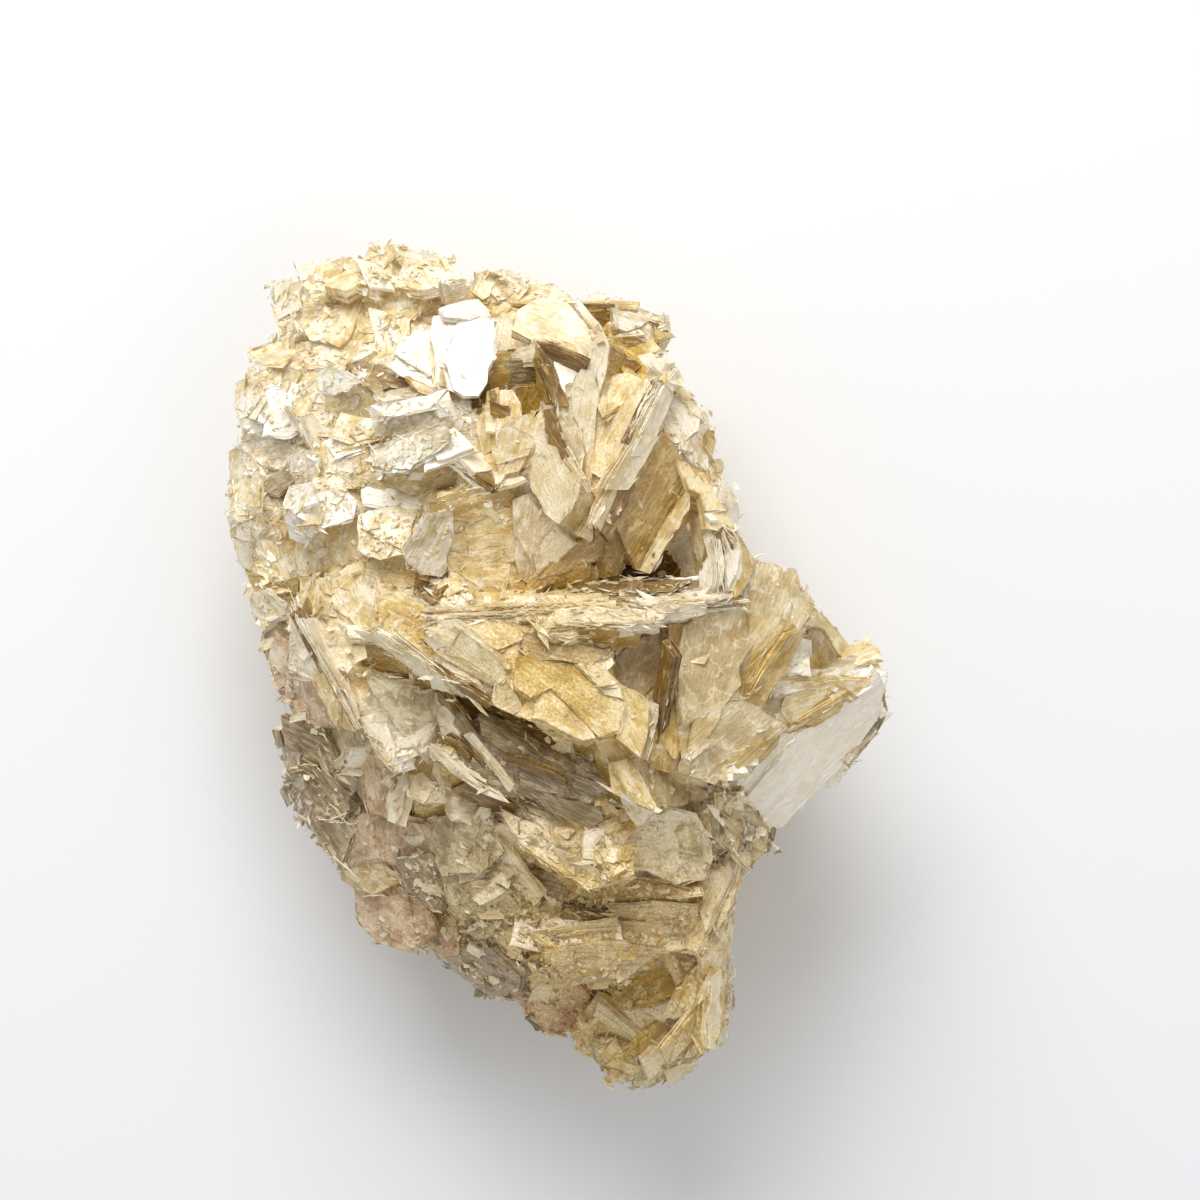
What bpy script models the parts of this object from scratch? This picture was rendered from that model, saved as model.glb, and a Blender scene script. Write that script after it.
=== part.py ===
"""A hand specimen of golden mica: one intergrown mass of books and blades, lying on a flat cleavage face.

The origin is the centre of the face that it rests on. +Z points up, away from that face, and +Y runs
along the specimen towards its broad end. Sizes in the tables are in millimetres and degrees.
"""

import math
import random

import bmesh
import bpy
from mathutils import Matrix, Vector

MM = 0.001
NAME = "mica_cluster"

# The grown-together core, under the books.
CORE_CENTRE = (-7.0, 2.0)
CORE_SIDES = 24
# Share of the outline that each ring keeps, from the foot up to the shoulder.
WALL_RINGS = ((0.0, 0.52), (4.0, 0.72), (12.0, 0.91), (21.0, 0.99), (28.0, 0.97))
DOME_SHARES = (0.88, 0.74, 0.58, 0.40, 0.20)
ROUGHNESS = 1.8

# The outline seen from above, clockwise from the broad end's peak.
OUTLINE = (
    (-20, 54.5), (-13, 53), (-3, 50.5), (5, 49), (11, 46.5), (14, 41), (17, 34), (20, 25), (22.5, 16),
    (28, 10.5), (34, 4), (38, -5), (33, -14), (26, -21), (22.5, -29), (21.5, -42), (18.5, -50.5),
    (11, -54), (3, -48.5), (-4, -43.5), (-13, -39), (-23, -35), (-26, -29), (-31, -20), (-34, -9),
    (-37, 0), (-40, 10), (-42.5, 22), (-42, 32), (-39.5, 39), (-37, 45), (-35, 50.5), (-28, 53.5),
)

# Height of the core's upper side over named spots: x, y, height.
SPOTS = (
    (-22, 50, 28), (-8, 49, 32), (6, 46, 34), (-34, 44, 25), (-12, 41, 39), (2, 38, 43), (13, 37, 40),
    (-40, 30, 26), (-28, 32, 37), (-15, 29, 44), (0, 25, 47), (14, 28, 45), (-39, 15, 29),
    (-27, 17, 40), (-12, 15, 46), (2, 12, 42), (9, 13, 36), (15, 14, 38), (20, 18, 44), (-37, 3, 28), (-25, 2, 40), (-12, 3, 48),
    (4, 2, 50), (18, 4, 47), (28, 5, 40), (36, 0, 34), (-31, -10, 29), (-20, -9, 40), (-6, -12, 44),
    (8, -10, 48), (21, -8, 45), (32, -10, 36), (-27, -22, 25), (-17, -24, 34), (-6, -27, 42),
    (8, -25, 44), (20, -22, 38), (-20, -34, 18), (-10, -36, 33), (4, -36, 37), (16, -34, 34),
    (-6, -43, 17), (6, -45, 25), (16, -47, 26), (12, -54, 17),
)

# The large books: name, x, y, how far its middle stands over the core, length, width, thickness,
# heading of its long side as seen from above, the way its face leans and by how much, and its corners.
BOOKS = (
    # the sill, a long book on edge across the middle, and the ragged sheets under it
    ("sill", 4.5, 7.6, 1.5, 39, 15, 2.8, 3, 93, 80, 7),
    ("sill_sheets", 6.0, 5.2, 2.5, 18, 11, 1.8, 2, 92, 78, 6),
    # the fan of blades above the sill
    ("fan_spine", 9.5, 28.0, 3.5, 25, 7, 3.4, 66, -25, 38, 6),
    ("fan_pane", 7.4, 30.0, 3.5, 18, 6.5, 2.2, 74, 170, 30, 6),
    ("fan_column", 5.0, 37.5, 5.0, 13, 4, 2.4, 83, 178, 45, 5),
    ("fan_dagger", -1.8, 16.2, 3.0, 13, 7.5, 2.4, 80, 255, 18, 3),
    ("fan_dagger_rim", 0.6, 13.6, 3.5, 11, 4, 1.8, 47, 317, 65, 5),
    ("fan_fin", 0.2, 26.0, 2.5, 15, 6, 2.2, -72, 205, 24, 6),
    ("fan_grey_fin", 1.9, 31.0, 3.5, 11, 3.4, 1.6, -72, 18, 42, 5),
    ("amber_pane", 12.0, 19.5, 3.0, 19, 9, 2.6, 62, -28, 34, 6),
    ("amber_needle", 15.0, 18.0, 6.5, 13, 2.6, 1.2, 57, 147, 55, 5),
    ("pit_wall", 4.4, 12.4, 1.5, 11, 7, 1.8, 60, -20, 60, 6),
    ("sliver_outer", 18.8, 18.0, 6.0, 12, 3.2, 1.4, 94, 186, 50, 5),
    ("sliver_inner", 20.2, 13.0, 6.5, 8, 3.0, 1.4, 80, 172, 50, 5),
    ("rib_right", 23.6, 14.4, 4.5, 9, 5, 1.8, 97, 7, 68, 6),
    ("edge_blade", 20.6, 21.5, 1.0, 17, 9, 2.6, -60, 30, 62, 6),
    ("grey_pane", 16.8, 31.8, 2.0, 11, 8, 2.4, -60, 30, 34, 7),
    ("amber_tip", 19.6, 29.4, 1.0, 6, 4, 1.6, -75, 20, 30, 5),
    # the window and what frames it
    ("window_top", 1.6, 40.6, 2.0, 7.5, 7, 1.6, -20, 70, 82, 5),
    ("window_left", -0.3, 37.6, 2.5, 9, 7, 1.6, -68, 22, 82, 5),
    ("nook_leaf", -6.0, 38.6, 1.5, 8, 4.5, 1.4, 10, 280, 30, 6),
    ("hood", 0.0, 45.4, 2.5, 11, 8, 2.2, -25, 100, 30, 6),
    ("hood_right", 13.0, 40.4, 2.0, 11, 6, 2.0, -38, 52, 34, 6),
    ("amber_box", 8.8, 40.0, 2.0, 7, 5, 1.6, -30, 300, 34, 5),
    ("slat", 7.6, 47.4, 2.0, 9, 6, 1.4, 0, 90, 72, 5),
    ("corner_leaf", 10.6, 45.2, 1.5, 10, 5.5, 1.6, -18, 70, 24, 6),
    ("corner_tip", 13.8, 44.2, 0.5, 4.5, 3, 1.0, -5, 60, 20, 4),
    # the bright plates of the upper left
    ("glare", -12.0, 42.0, 2.5, 11, 8.6, 2.4, 84, 92, 30, 6),
    ("glare_wing", -18.0, 41.4, 2.0, 8, 6, 2.0, 62, 120, 32, 5),
    ("grey_shingle", -19.0, 33.0, 2.0, 12, 5, 2.0, 12, 250, 34, 6),
    ("grey_shingle_low", -18.0, 27.6, 2.5, 13, 6.5, 2.0, 22, 240, 32, 6),
    ("curl", -11.6, 26.6, 3.5, 9, 3.4, 1.6, -40, 50, 45, 5),
    ("scoop", -10.6, 21.8, 1.5, 13, 5, 1.8, 14, 100, 42, 6),
    ("column_left", -8.0, 31.6, 2.5, 11, 3.6, 1.8, 84, 175, 34, 5),
    ("column_mid", -6.2, 28.6, 3.0, 11, 4.4, 2.0, 78, 200, 26, 6),
    # the scales of the left side
    ("scale_round", -37.4, 13.0, 2.0, 7, 6.4, 2.0, -80, 195, 18, 8),
    ("scale_lip", -38.0, 7.6, 2.5, 6, 4.5, 1.8, -15, 240, 30, 7),
    ("scale_yellow", -40.2, 21.0, 1.0, 9, 6.5, 2.0, 80, 182, 38, 7),
    ("scale_grey", -38.0, 28.6, 1.5, 10, 6.5, 2.0, 20, 165, 32, 7),
    ("scale_white", -35.4, 33.8, 1.5, 9, 6.5, 2.0, 30, 140, 32, 6),
    ("scale_bright", -30.6, 21.6, 2.0, 9, 7, 2.0, 15, 120, 22, 7),
    ("scale_amber", -28.0, 15.8, 1.5, 7, 6, 2.0, 80, 300, 20, 6),
    ("scale_cream", -21.6, 17.4, 2.5, 10, 6, 2.0, 25, 95, 26, 6),
    ("scale_silver", -16.4, 15.8, 3.0, 8.5, 5, 1.6, 62, 320, 22, 5),
    ("scale_pale", -19.5, 6.4, 2.5, 12, 7.5, 2.2, -35, 78, 28, 7),
    ("scale_leaf", -29.4, 8.4, 2.0, 8.5, 5, 2.0, -72, 20, 26, 6),
    ("shoulder_a", -27.0, 44.5, 1.5, 10, 8, 2.2, 30, 130, 36, 7),
    ("shoulder_b", -33.0, 47.5, 1.0, 9, 7, 2.2, 60, 150, 45, 7),
    ("crown_a", -16.0, 51.0, 1.5, 9, 7, 2.2, 10, 100, 45, 7),
    ("crown_b", -25.0, 51.5, 1.5, 9, 7, 2.2, -20, 110, 50, 6),
    ("crown_c", -6.0, 48.5, 1.5, 9, 7, 2.2, 5, 90, 45, 7),
    ("crown_d", -19.0, 47.0, 1.5, 8, 6, 2.0, 40, 60, 30, 6),
    ("shoulder_c", -31.5, 39.5, 1.5, 11, 8, 2.2, 25, 120, 32, 6),
    ("shoulder_d", -25.5, 37.0, 1.5, 10, 6, 2.2, 165, 110, 26, 6),
    ("shoulder_e", -28.5, 28.0, 1.8, 12, 7, 2.2, 30, 150, 26, 5),
    ("shoulder_f", -37.5, 39.0, 0.8, 8, 7, 2.2, 70, 150, 50, 6),
    # the amber blade, the grey face that it shades, and the laths beside them
    ("amber_blade", 0.0, -2.4, 3.0, 28, 12, 3.0, -32, 62, 22, 7),
    ("amber_lip", -11.0, 2.6, 3.5, 15, 5.5, 2.6, -40, 238, 36, 6),
    ("amber_upper", 1.8, 1.0, 1.8, 18, 6.0, 1.8, -12, 85, 30, 6),
    ("amber_leaf", 8.8, -5.6, 3.0, 13, 8, 2.0, -52, 38, 20, 6),
    ("amber_tail", 9.6, -14.6, 2.0, 14, 6, 2.0, -52, 40, 34, 5),
    ("grey_window", 11.4, 1.0, -1.5, 9, 8, 2.0, 60, 0, 14, 5),
    ("grey_face", -2.6, -13.6, 0.5, 25, 13, 3.0, -32, 236, 48, 6),
    ("dark_fan", -9.8, -11.4, 1.5, 17, 5.5, 2.4, -58, 210, 58, 5),
    ("spear", -11.0, -14.2, 4.0, 14, 3, 1.6, -31, 58, 50, 5),
    ("lath_white", -14.6, -1.4, 4.0, 16, 4, 2.2, -30, 60, 34, 5),
    ("lath_grey", -10.4, -1.8, 2.8, 9, 6, 1.6, -36, 70, 20, 4),
    # the right shoulder: one broad translucent face, its leaves, and the pale face under it
    ("broad_face", 22.5, -1.2, 0.0, 31, 21, 6.0, 76, 14, 20, 7),
    ("broad_border", 14.8, -4.4, 1.5, 21, 5.5, 3.0, 83, 173, 46, 6),
    ("upper_leaf", 29.8, 8.0, 0.5, 14, 9, 2.4, -50, 40, 32, 7),
    ("rib_amber", 28.3, 0.4, 3.5, 13, 4.5, 1.8, 52, 322, 58, 5),
    ("outer_leaf", 33.4, -4.4, 3.0, 16, 9.5, 2.6, 18, 290, 24, 6),
    ("tip_blade_a", 38.8, 0.6, 2.0, 10, 6, 1.6, 28, 120, 48, 5),
    ("tip_blade_b", 39.6, -2.8, 3.0, 10, 5, 2.0, 24, 110, 30, 5),
    ("pale_face", 33.4, -11.4, -2.5, 29, 11.5, 5.0, 44, 314, 42, 6),
    # the left side under the scales
    ("frayed_stack", -30.0, 0.4, 1.0, 18, 8, 4.2, -60, 30, 72, 6),
    ("rosy_leaf", -33.0, -2.6, 2.5, 13, 8, 2.0, -66, 205, 32, 6),
    ("rosy_fan", -23.4, -19.6, 2.5, 15, 8.5, 1.8, -84, 215, 26, 7),
    ("crackle_leaf", -20.6, -6.0, 2.5, 12, 9.5, 2.0, -22, 242, 18, 7),
    ("rosette_a", -27.4, -9.4, 5.0, 7, 3.4, 1.6, -14, 76, 30, 5),
    ("rosette_b", -26.2, -12.0, 4.5, 7, 3.2, 1.6, 36, 126, 35, 5),
    ("rosette_c", -22.8, -10.0, 4.5, 6.5, 3.0, 1.6, -52, 38, 30, 5),
    ("rosette_d", -18.4, -10.6, 4.0, 7.5, 3.0, 1.6, 40, 130, 35, 5),
    ("rosette_e", -20.8, -17.4, 4.5, 7.5, 3.2, 1.8, 76, 166, 30, 6),
    ("rosette_f", -17.0, -16.4, 4.5, 5.5, 3.6, 2.0, -20, 70, 25, 6),
    ("left_wall", -31.8, -16.0, 0.5, 20, 11, 3.0, -66, 205, 56, 7),
    ("left_wall_low", -27.0, -26.0, 0.0, 11, 8, 2.4, -50, 225, 50, 7),
    # the lower middle
    ("green_upper", -9.0, -26.0, 2.5, 15, 9, 2.2, -34, 240, 26, 7),
    ("green_lower", -9.4, -32.0, 1.5, 12, 9, 2.4, -28, 246, 34, 6),
    ("low_spear", 0.4, -24.0, 2.5, 18, 5.5, 2.0, -38, 52, 34, 5),
    ("low_block", 8.0, -24.0, 1.5, 10, 8, 2.4, -30, 80, 26, 6),
    ("low_cube", 5.8, -24.4, 3.5, 3.6, 3.2, 2.4, 20, 80, 15, 4),
    ("low_leaf", 16.4, -23.8, 2.5, 10, 8.5, 2.0, 20, 300, 24, 7),
    ("knob_leaf", 21.0, -20.0, 3.0, 11, 6.5, 2.0, -56, 205, 48, 6),
    ("knob", 25.6, -22.4, 0.5, 9, 7, 3.2, -78, 12, 38, 7),
    ("low_scoop", 13.0, -32.0, 2.5, 13, 8, 2.2, 10, 280, 44, 7),
    ("ledge", 5.0, -38.0, 1.5, 19, 7.5, 3.2, -6, 268, 34, 8),
    ("ledge_left", -5.0, -34.6, 1.5, 9, 6, 2.4, -20, 250, 30, 7),
    ("side_column", 20.8, -32.0, 2.0, 18, 6, 2.2, 66, 150, 46, 6),
    ("side_wall", 19.8, -40.0, 0.0, 23, 12, 2.6, 88, 2, 64, 6),
    # the lower edge, set back under the ledge, and the toe
    ("shelf_left", -20.8, -33.4, 1.0, 16, 9.5, 2.6, -24, 250, 30, 7),
    ("shelf_mid", -7.0, -41.6, 1.0, 15, 8, 2.6, -12, 268, 32, 7),
    ("shelf_right", -0.4, -46.6, 0.5, 9, 7, 2.6, -20, 262, 36, 6),
    ("toe_block", 5.2, -50.0, 0.0, 7, 6, 3.2, 10, 250, 28, 5),
    ("toe_scoop", 12.0, -42.8, 2.5, 12, 6, 1.8, 28, 100, 32, 6),
    ("toe_face", 13.4, -48.6, 1.5, 17, 11, 2.6, 40, 300, 26, 7),
    ("toe_tip", 12.4, -53.6, 0.5, 13, 7, 2.6, 12, 268, 40, 7),
    ("toe_edge", 19.8, -47.4, 1.0, 11, 5, 2.0, 86, 170, 40, 5),
)

# Books at least this long carry a second, smaller sheet, so that their rims are stepped.
STEPPED_LENGTH = 13.0
STEP_SHARE = 0.7
STEP_THICKNESS = 1.3

# The small books between the large ones: how many, their longest side, and their lean from the slope.
FIELD_COUNT = 40
FIELD_SEED = 11
FIELD_LENGTH = (8.0, 12.0)
FIELD_THICKNESS = (2.2, 3.0)
FIELD_LEAN = 22.0
FIELD_STAND = 1.0

# The rows of books round the sides: how many, their height, size and thickness.
SIDE_ROWS = ((19, 25.0, 13.0, 3.6), (16, 15.5, 15.0, 4.4), (13, 7.5, 13.0, 4.4))
SIDE_STAND = -0.2

# The flat cleavage face that the specimen rests on.
REST_LENGTH = 50.0
REST_WIDTH = 38.0
REST_THICKNESS = 5.0
REST_HEADING = 72.0
REST_CORNERS = 9


def outline_reach(angle):
    """Distance from the core's centre to its outline in this direction, in radians from +X."""
    centre = Vector(CORE_CENTRE)
    direction = Vector((math.cos(angle), math.sin(angle)))
    reach = 0.0
    for start, end in zip(OUTLINE, OUTLINE[1:] + OUTLINE[:1]):
        a = Vector(start) - centre
        side = Vector(end) - Vector(start)
        turn = direction.cross(side)
        if abs(turn) < 1e-9:
            continue
        along = a.cross(side) / turn
        share = a.cross(direction) / turn
        if along > 0 and 0 <= share <= 1:
            reach = max(reach, along)
    return reach


def core_height(x, y):
    """Height of the core's upper side: the spots' heights, each weighed by how near it is."""
    total = 0.0
    weights = 0.0
    for spot_x, spot_y, height in SPOTS:
        weight = 1 / ((x - spot_x) ** 2 + (y - spot_y) ** 2 + 4.0) ** 2
        total += weight * height
        weights += weight
    return total / weights


def bump(x, y, z):
    """A rough stone's uneven surface, from -1 to 1."""
    return (math.sin(0.47 * x + 0.9 * z) + math.sin(0.53 * y - 0.4 * z + 1.3) + math.sin(0.31 * (x + y) + 2.0)) / 3


def core_ring(share, height=None):
    """Points of one ring. With no height the ring lies on the core's upper side."""
    points = []
    for i in range(CORE_SIDES):
        angle = 2 * math.pi * i / CORE_SIDES
        reach = share * outline_reach(angle)
        x = CORE_CENTRE[0] + reach * math.cos(angle)
        y = CORE_CENTRE[1] + reach * math.sin(angle)
        z = core_height(x, y) if height is None else height
        if z > 0:
            z += ROUGHNESS * bump(x, y, z)
        points.append(Vector((x, y, z)) * MM)
    return points


def add_core():
    """The core: rings lofted from the foot to the shoulder and over the dome."""
    mesh = bmesh.new()
    rings = [core_ring(share, height) for height, share in WALL_RINGS]
    rings += [core_ring(share) for share in DOME_SHARES]
    rows = [[mesh.verts.new(point) for point in ring] for ring in rings]
    for low, high in zip(rows, rows[1:]):
        for i in range(CORE_SIDES):
            j = (i + 1) % CORE_SIDES
            mesh.faces.new((low[i], low[j], high[j], high[i]))
    mesh.faces.new(list(reversed(rows[0])))
    peak_z = core_height(*CORE_CENTRE)
    peak = mesh.verts.new(Vector((*CORE_CENTRE, peak_z)) * MM)
    for i in range(CORE_SIDES):
        mesh.faces.new((rows[-1][i], rows[-1][(i + 1) % CORE_SIDES], peak))
    bmesh.ops.triangulate(mesh, faces=mesh.faces)
    return new_object(NAME, mesh)


def new_object(name, mesh):
    data = bpy.data.meshes.new(name)
    mesh.to_mesh(data)
    mesh.free()
    return bpy.data.objects.new(name, data)


def facing_axes(heading, toward, tilt):
    """Axes of a book: its long side shows along heading, and its face leans by tilt the way of toward."""
    lean = math.radians(tilt)
    way = math.radians(toward)
    normal = Vector((math.sin(lean) * math.cos(way), math.sin(lean) * math.sin(way), math.cos(lean)))
    seen = Vector((math.cos(math.radians(heading)), math.sin(math.radians(heading)), 0))
    rise = -normal.dot(seen) / normal.z
    long_side = (seen + Vector((0, 0, rise))).normalized()
    return long_side, normal.cross(long_side), normal


def book_mesh(length, width, thickness, corners, phase):
    """A flat irregular prism, its corners pushed out and round, and its upper face a little smaller."""
    mesh = bmesh.new()
    bmesh.ops.create_cone(
        mesh, cap_ends=True, segments=corners, radius1=0.5, radius2=0.46, depth=thickness
    )
    for vert in mesh.verts:
        angle = math.atan2(vert.co.y, vert.co.x)
        push = 1.05 + 0.15 * math.sin(2.4 * angle + phase) + 0.10 * math.sin(5.0 * angle + 1.7 * phase)
        swing = angle + 0.30 * math.sin(3.0 * angle + 2.1 * phase)
        radius = math.hypot(vert.co.x, vert.co.y) * push
        vert.co.x = length * radius * math.cos(swing)
        vert.co.y = width * radius * math.sin(swing)
    return mesh


def add_book(name, place, axes, length, width, thickness, corners):
    phase = 1.3 * place[0] + 0.7 * place[1]
    mesh = book_mesh(length, width, thickness, corners, phase)
    turn = Matrix((axes[0], axes[1], axes[2])).transposed().to_4x4()
    mesh.transform(Matrix.Scale(MM, 4) @ Matrix.Translation(place) @ turn)
    book = new_object(name, mesh)
    books.objects.link(book)


def add_large_books():
    for name, x, y, stand, length, width, thickness, heading, toward, tilt, corners in BOOKS:
        place = Vector((x, y, core_height(x, y) + stand))
        axes = facing_axes(heading, toward, tilt)
        add_book(name, place, axes, length, width, thickness, corners)
        if length >= STEPPED_LENGTH:
            slide = 0.5 * (1 - STEP_SHARE) * math.sin(x + y)
            step = place + axes[0] * slide * length + axes[2] * (thickness + STEP_THICKNESS) / 2
            short = STEP_SHARE * length
            add_book(name + "_step", step, axes, short, STEP_SHARE * width, STEP_THICKNESS + 0.4, corners)


def core_slope(x, y):
    """Which way the core's upper side falls, and how steeply, both in degrees."""
    across = core_height(x + 1, y) - core_height(x - 1, y)
    along = core_height(x, y + 1) - core_height(x, y - 1)
    fall = math.hypot(across, along) / 2
    return math.degrees(math.atan2(-along, -across)), math.degrees(math.atan(fall))


def add_field_books():
    """Small books in a sunflower pattern over the upper side, each leaning a little off the slope."""
    luck = random.Random(FIELD_SEED)
    golden = math.radians(137.508)
    for i in range(FIELD_COUNT):
        angle = i * golden
        reach = 0.95 * outline_reach(angle) * math.sqrt((i + 0.5) / FIELD_COUNT)
        x = CORE_CENTRE[0] + reach * math.cos(angle)
        y = CORE_CENTRE[1] + reach * math.sin(angle)
        toward, tilt = core_slope(x, y)
        length = luck.uniform(*FIELD_LENGTH)
        thickness = luck.uniform(*FIELD_THICKNESS)
        lean = luck.uniform(-FIELD_LEAN, FIELD_LEAN)
        axes = facing_axes(luck.uniform(0, 180), toward + lean, min(abs(tilt + lean), 70))
        place = Vector((x, y, core_height(x, y) + FIELD_STAND))
        width = luck.uniform(0.55, 0.9) * length
        add_book(f"field_{i}", place, axes, length, width, thickness, 5 + i % 2)


def outline_place(share_round, share_out):
    """A place on the outline, as a share of the way round, and the outward direction there in degrees."""
    corners = [Vector(corner) for corner in OUTLINE]
    sides = [b - a for a, b in zip(corners, corners[1:] + corners[:1])]
    left = share_round % 1.0 * sum(side.length for side in sides)
    for corner, side in zip(corners, sides):
        if left <= side.length:
            break
        left -= side.length
    centre = Vector(CORE_CENTRE)
    place = centre + share_out * (corner + side * (left / side.length) - centre)
    return place, math.degrees(math.atan2(side.x, -side.y))


def add_side_books():
    """Rows of books round the sides and under the belly, each leaning its own way on the wall."""
    for row, (count, height, size, thickness) in enumerate(SIDE_ROWS):
        share = next(s for z, s in reversed(WALL_RINGS) if z <= height)
        for i in range(count):
            swing = math.sin(3.1 * i + 2.3 * row)
            place, outward = outline_place((i + 0.4 * row) / count, share)
            out = Vector((math.cos(math.radians(outward)), math.sin(math.radians(outward))))
            place += out * (SIDE_STAND - 0.5 * abs(swing))
            lean = (80, 98, 118)[row] + 12 * swing
            axes = side_axes(outward + 16 * swing, lean, 50 * math.sin(1.7 * i + row))
            long = size * (1 + 0.2 * swing)
            spot = Vector((place.x, place.y, height + 2.0 * swing))
            add_book(f"side_{row}_{i}", spot, axes, long, 0.7 * long, thickness, 5 + i % 3)


def side_axes(toward, tilt, roll):
    """Axes of a book on the wall: its face leans by tilt the way of toward, its long side is rolled on it."""
    turn = Matrix.Rotation(math.radians(toward), 3, "Z") @ Matrix.Rotation(math.radians(tilt), 3, "Y")
    turn = turn @ Matrix.Rotation(math.radians(90 + roll), 3, "Z")
    return turn.col[0].copy(), turn.col[1].copy(), turn.col[2].copy()


def add_rest_book():
    """The flat book underneath. Its lower face is the specimen's foot."""
    place = Vector((0, 0, REST_THICKNESS / 2))
    axes = facing_axes(REST_HEADING, 0, 0)
    add_book("rest", place, axes, REST_LENGTH, REST_WIDTH, REST_THICKNESS, REST_CORNERS)


def keep_outer_shell(data):
    """Removes the small sealed gaps that crossing books leave inside: every island but the largest."""
    mesh = bmesh.new()
    mesh.from_mesh(data)
    unseen = set(mesh.verts)
    islands = []
    while unseen:
        edge_of = [unseen.pop()]
        island = list(edge_of)
        while edge_of:
            for edge in edge_of.pop().link_edges:
                for vert in edge.verts:
                    if vert in unseen:
                        unseen.remove(vert)
                        edge_of.append(vert)
                        island.append(vert)
        islands.append(island)
    islands.sort(key=len)
    for island in islands[:-1]:
        bmesh.ops.delete(mesh, geom=island, context="VERTS")
    mesh.to_mesh(data)
    mesh.free()


def mica_material():
    material = bpy.data.materials.new("mica")
    material.use_nodes = True
    shader = material.node_tree.nodes["Principled BSDF"]
    shader.inputs["Base Color"].default_value = (0.62, 0.50, 0.31, 1)
    shader.inputs["Roughness"].default_value = 0.35
    shader.inputs["Metallic"].default_value = 0.0
    return material


def grow_together(core):
    """Joins the core and every book in one solid, and flattens the foot."""
    joined = core.modifiers.new("books", "BOOLEAN")
    joined.operation = "UNION"
    joined.operand_type = "COLLECTION"
    joined.collection = books
    joined.solver = "EXACT"
    joined.use_self = True
    graph = bpy.context.evaluated_depsgraph_get()
    data = bpy.data.meshes.new_from_object(core.evaluated_get(graph))
    core.modifiers.clear()
    core.data = data
    keep_outer_shell(data)


for old in list(bpy.data.objects):
    bpy.data.objects.remove(old)

cluster = bpy.data.collections.new(NAME)
bpy.context.scene.collection.children.link(cluster)
books = bpy.data.collections.new("books")
books.hide_render = True
bpy.context.scene.collection.children.link(books)

core = add_core()
cluster.objects.link(core)
add_rest_book()
add_large_books()
add_field_books()
add_side_books()
bpy.context.view_layer.update()
grow_together(core)
for book in list(books.objects):
    bpy.data.objects.remove(book)
core.data.materials.clear()
core.data.materials.append(mica_material())
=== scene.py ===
# Mica specimen: the looks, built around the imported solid.
# Every book of mica is a stack of thin sheets. All sizes in the dictionaries are in millimetres and degrees.

import math

import bpy
import numpy as np
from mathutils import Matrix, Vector
from mathutils.bvhtree import BVHTree


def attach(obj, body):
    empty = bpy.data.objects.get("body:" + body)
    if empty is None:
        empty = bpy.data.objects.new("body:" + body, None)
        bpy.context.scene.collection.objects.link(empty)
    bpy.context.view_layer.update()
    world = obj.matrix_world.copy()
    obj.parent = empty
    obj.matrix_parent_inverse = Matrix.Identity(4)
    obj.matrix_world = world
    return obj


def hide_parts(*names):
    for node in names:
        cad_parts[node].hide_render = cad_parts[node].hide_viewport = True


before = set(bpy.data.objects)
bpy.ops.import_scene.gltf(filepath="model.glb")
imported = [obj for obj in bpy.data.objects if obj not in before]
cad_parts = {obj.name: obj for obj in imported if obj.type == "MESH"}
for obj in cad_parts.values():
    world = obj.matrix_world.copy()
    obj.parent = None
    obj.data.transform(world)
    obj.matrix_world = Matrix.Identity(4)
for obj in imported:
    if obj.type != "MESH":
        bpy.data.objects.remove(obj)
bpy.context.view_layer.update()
mm = 0.001


def colour(red, green, blue):
    # screen colour, 0 to 255, to the linear colour that shaders take
    share = np.array([red, green, blue]) / 255
    linear = np.where(share > 0.04045, ((share + 0.055) / 1.055) ** 2.4, share / 12.92)
    return (*linear.tolist(), 1.0)


def feed(tree, made, sockets):
    # each socket takes a value, or the output that feeds it
    for key, value in sockets.items():
        if isinstance(value, bpy.types.NodeSocket):
            tree.links.new(value, made.inputs[key])
        else:
            made.inputs[key].default_value = value
    return made


def node(tree, kind, sockets, **settings):
    made = tree.nodes.new(kind)
    for key, value in settings.items():
        setattr(made, key, value)
    return feed(tree, made, sockets).outputs


def startGroup(name, numbers):
    # every group reads a place and some numbers
    group = bpy.data.node_groups.new(name, "ShaderNodeTree")
    group.interface.new_socket("Vector", in_out="INPUT", socket_type="NodeSocketVector")
    for label, value in numbers.items():
        socket = group.interface.new_socket(label, in_out="INPUT", socket_type="NodeSocketFloat")
        socket.default_value = value
    return group, node(group, "NodeGroupInput", {})


def endGroup(group, **results):
    # every group puts out masks and heights, which are numbers
    for label in results:
        group.interface.new_socket(label, in_out="OUTPUT", socket_type="NodeSocketFloat")
    node(group, "NodeGroupOutput", results)
    return group


def mathNode(tree, operation, *values, clamp=False):
    return node(tree, "ShaderNodeMath", dict(enumerate(values)), operation=operation, use_clamp=clamp)[0]


def vectorNode(tree, operation, *values):
    return node(tree, "ShaderNodeVectorMath", dict(enumerate(values)), operation=operation)


def stepNode(tree, value, low, high):
    # 0 under low, 1 over high, smooth between
    sockets = {"Value": value, "From Min": low, "From Max": high}
    return node(tree, "ShaderNodeMapRange", sockets, interpolation_type="SMOOTHSTEP")["Result"]


def mixNode(tree, factor, first, second, blend="MIX"):
    sockets = {0: factor, 6: first, 7: second}
    return node(tree, "ShaderNodeMix", sockets, data_type="RGBA", blend_type=blend)[2]


def stretchNode(tree, vector, scale):
    return node(tree, "ShaderNodeMapping", {"Vector": vector, "Scale": scale})[0]


def noiseNode(tree, vector, scale, detail, roughness, distortion=0.0):
    sockets = {"Scale": scale, "Detail": detail, "Roughness": roughness, "Distortion": distortion}
    return node(tree, "ShaderNodeTexNoise", {"Vector": vector, **sockets})


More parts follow.
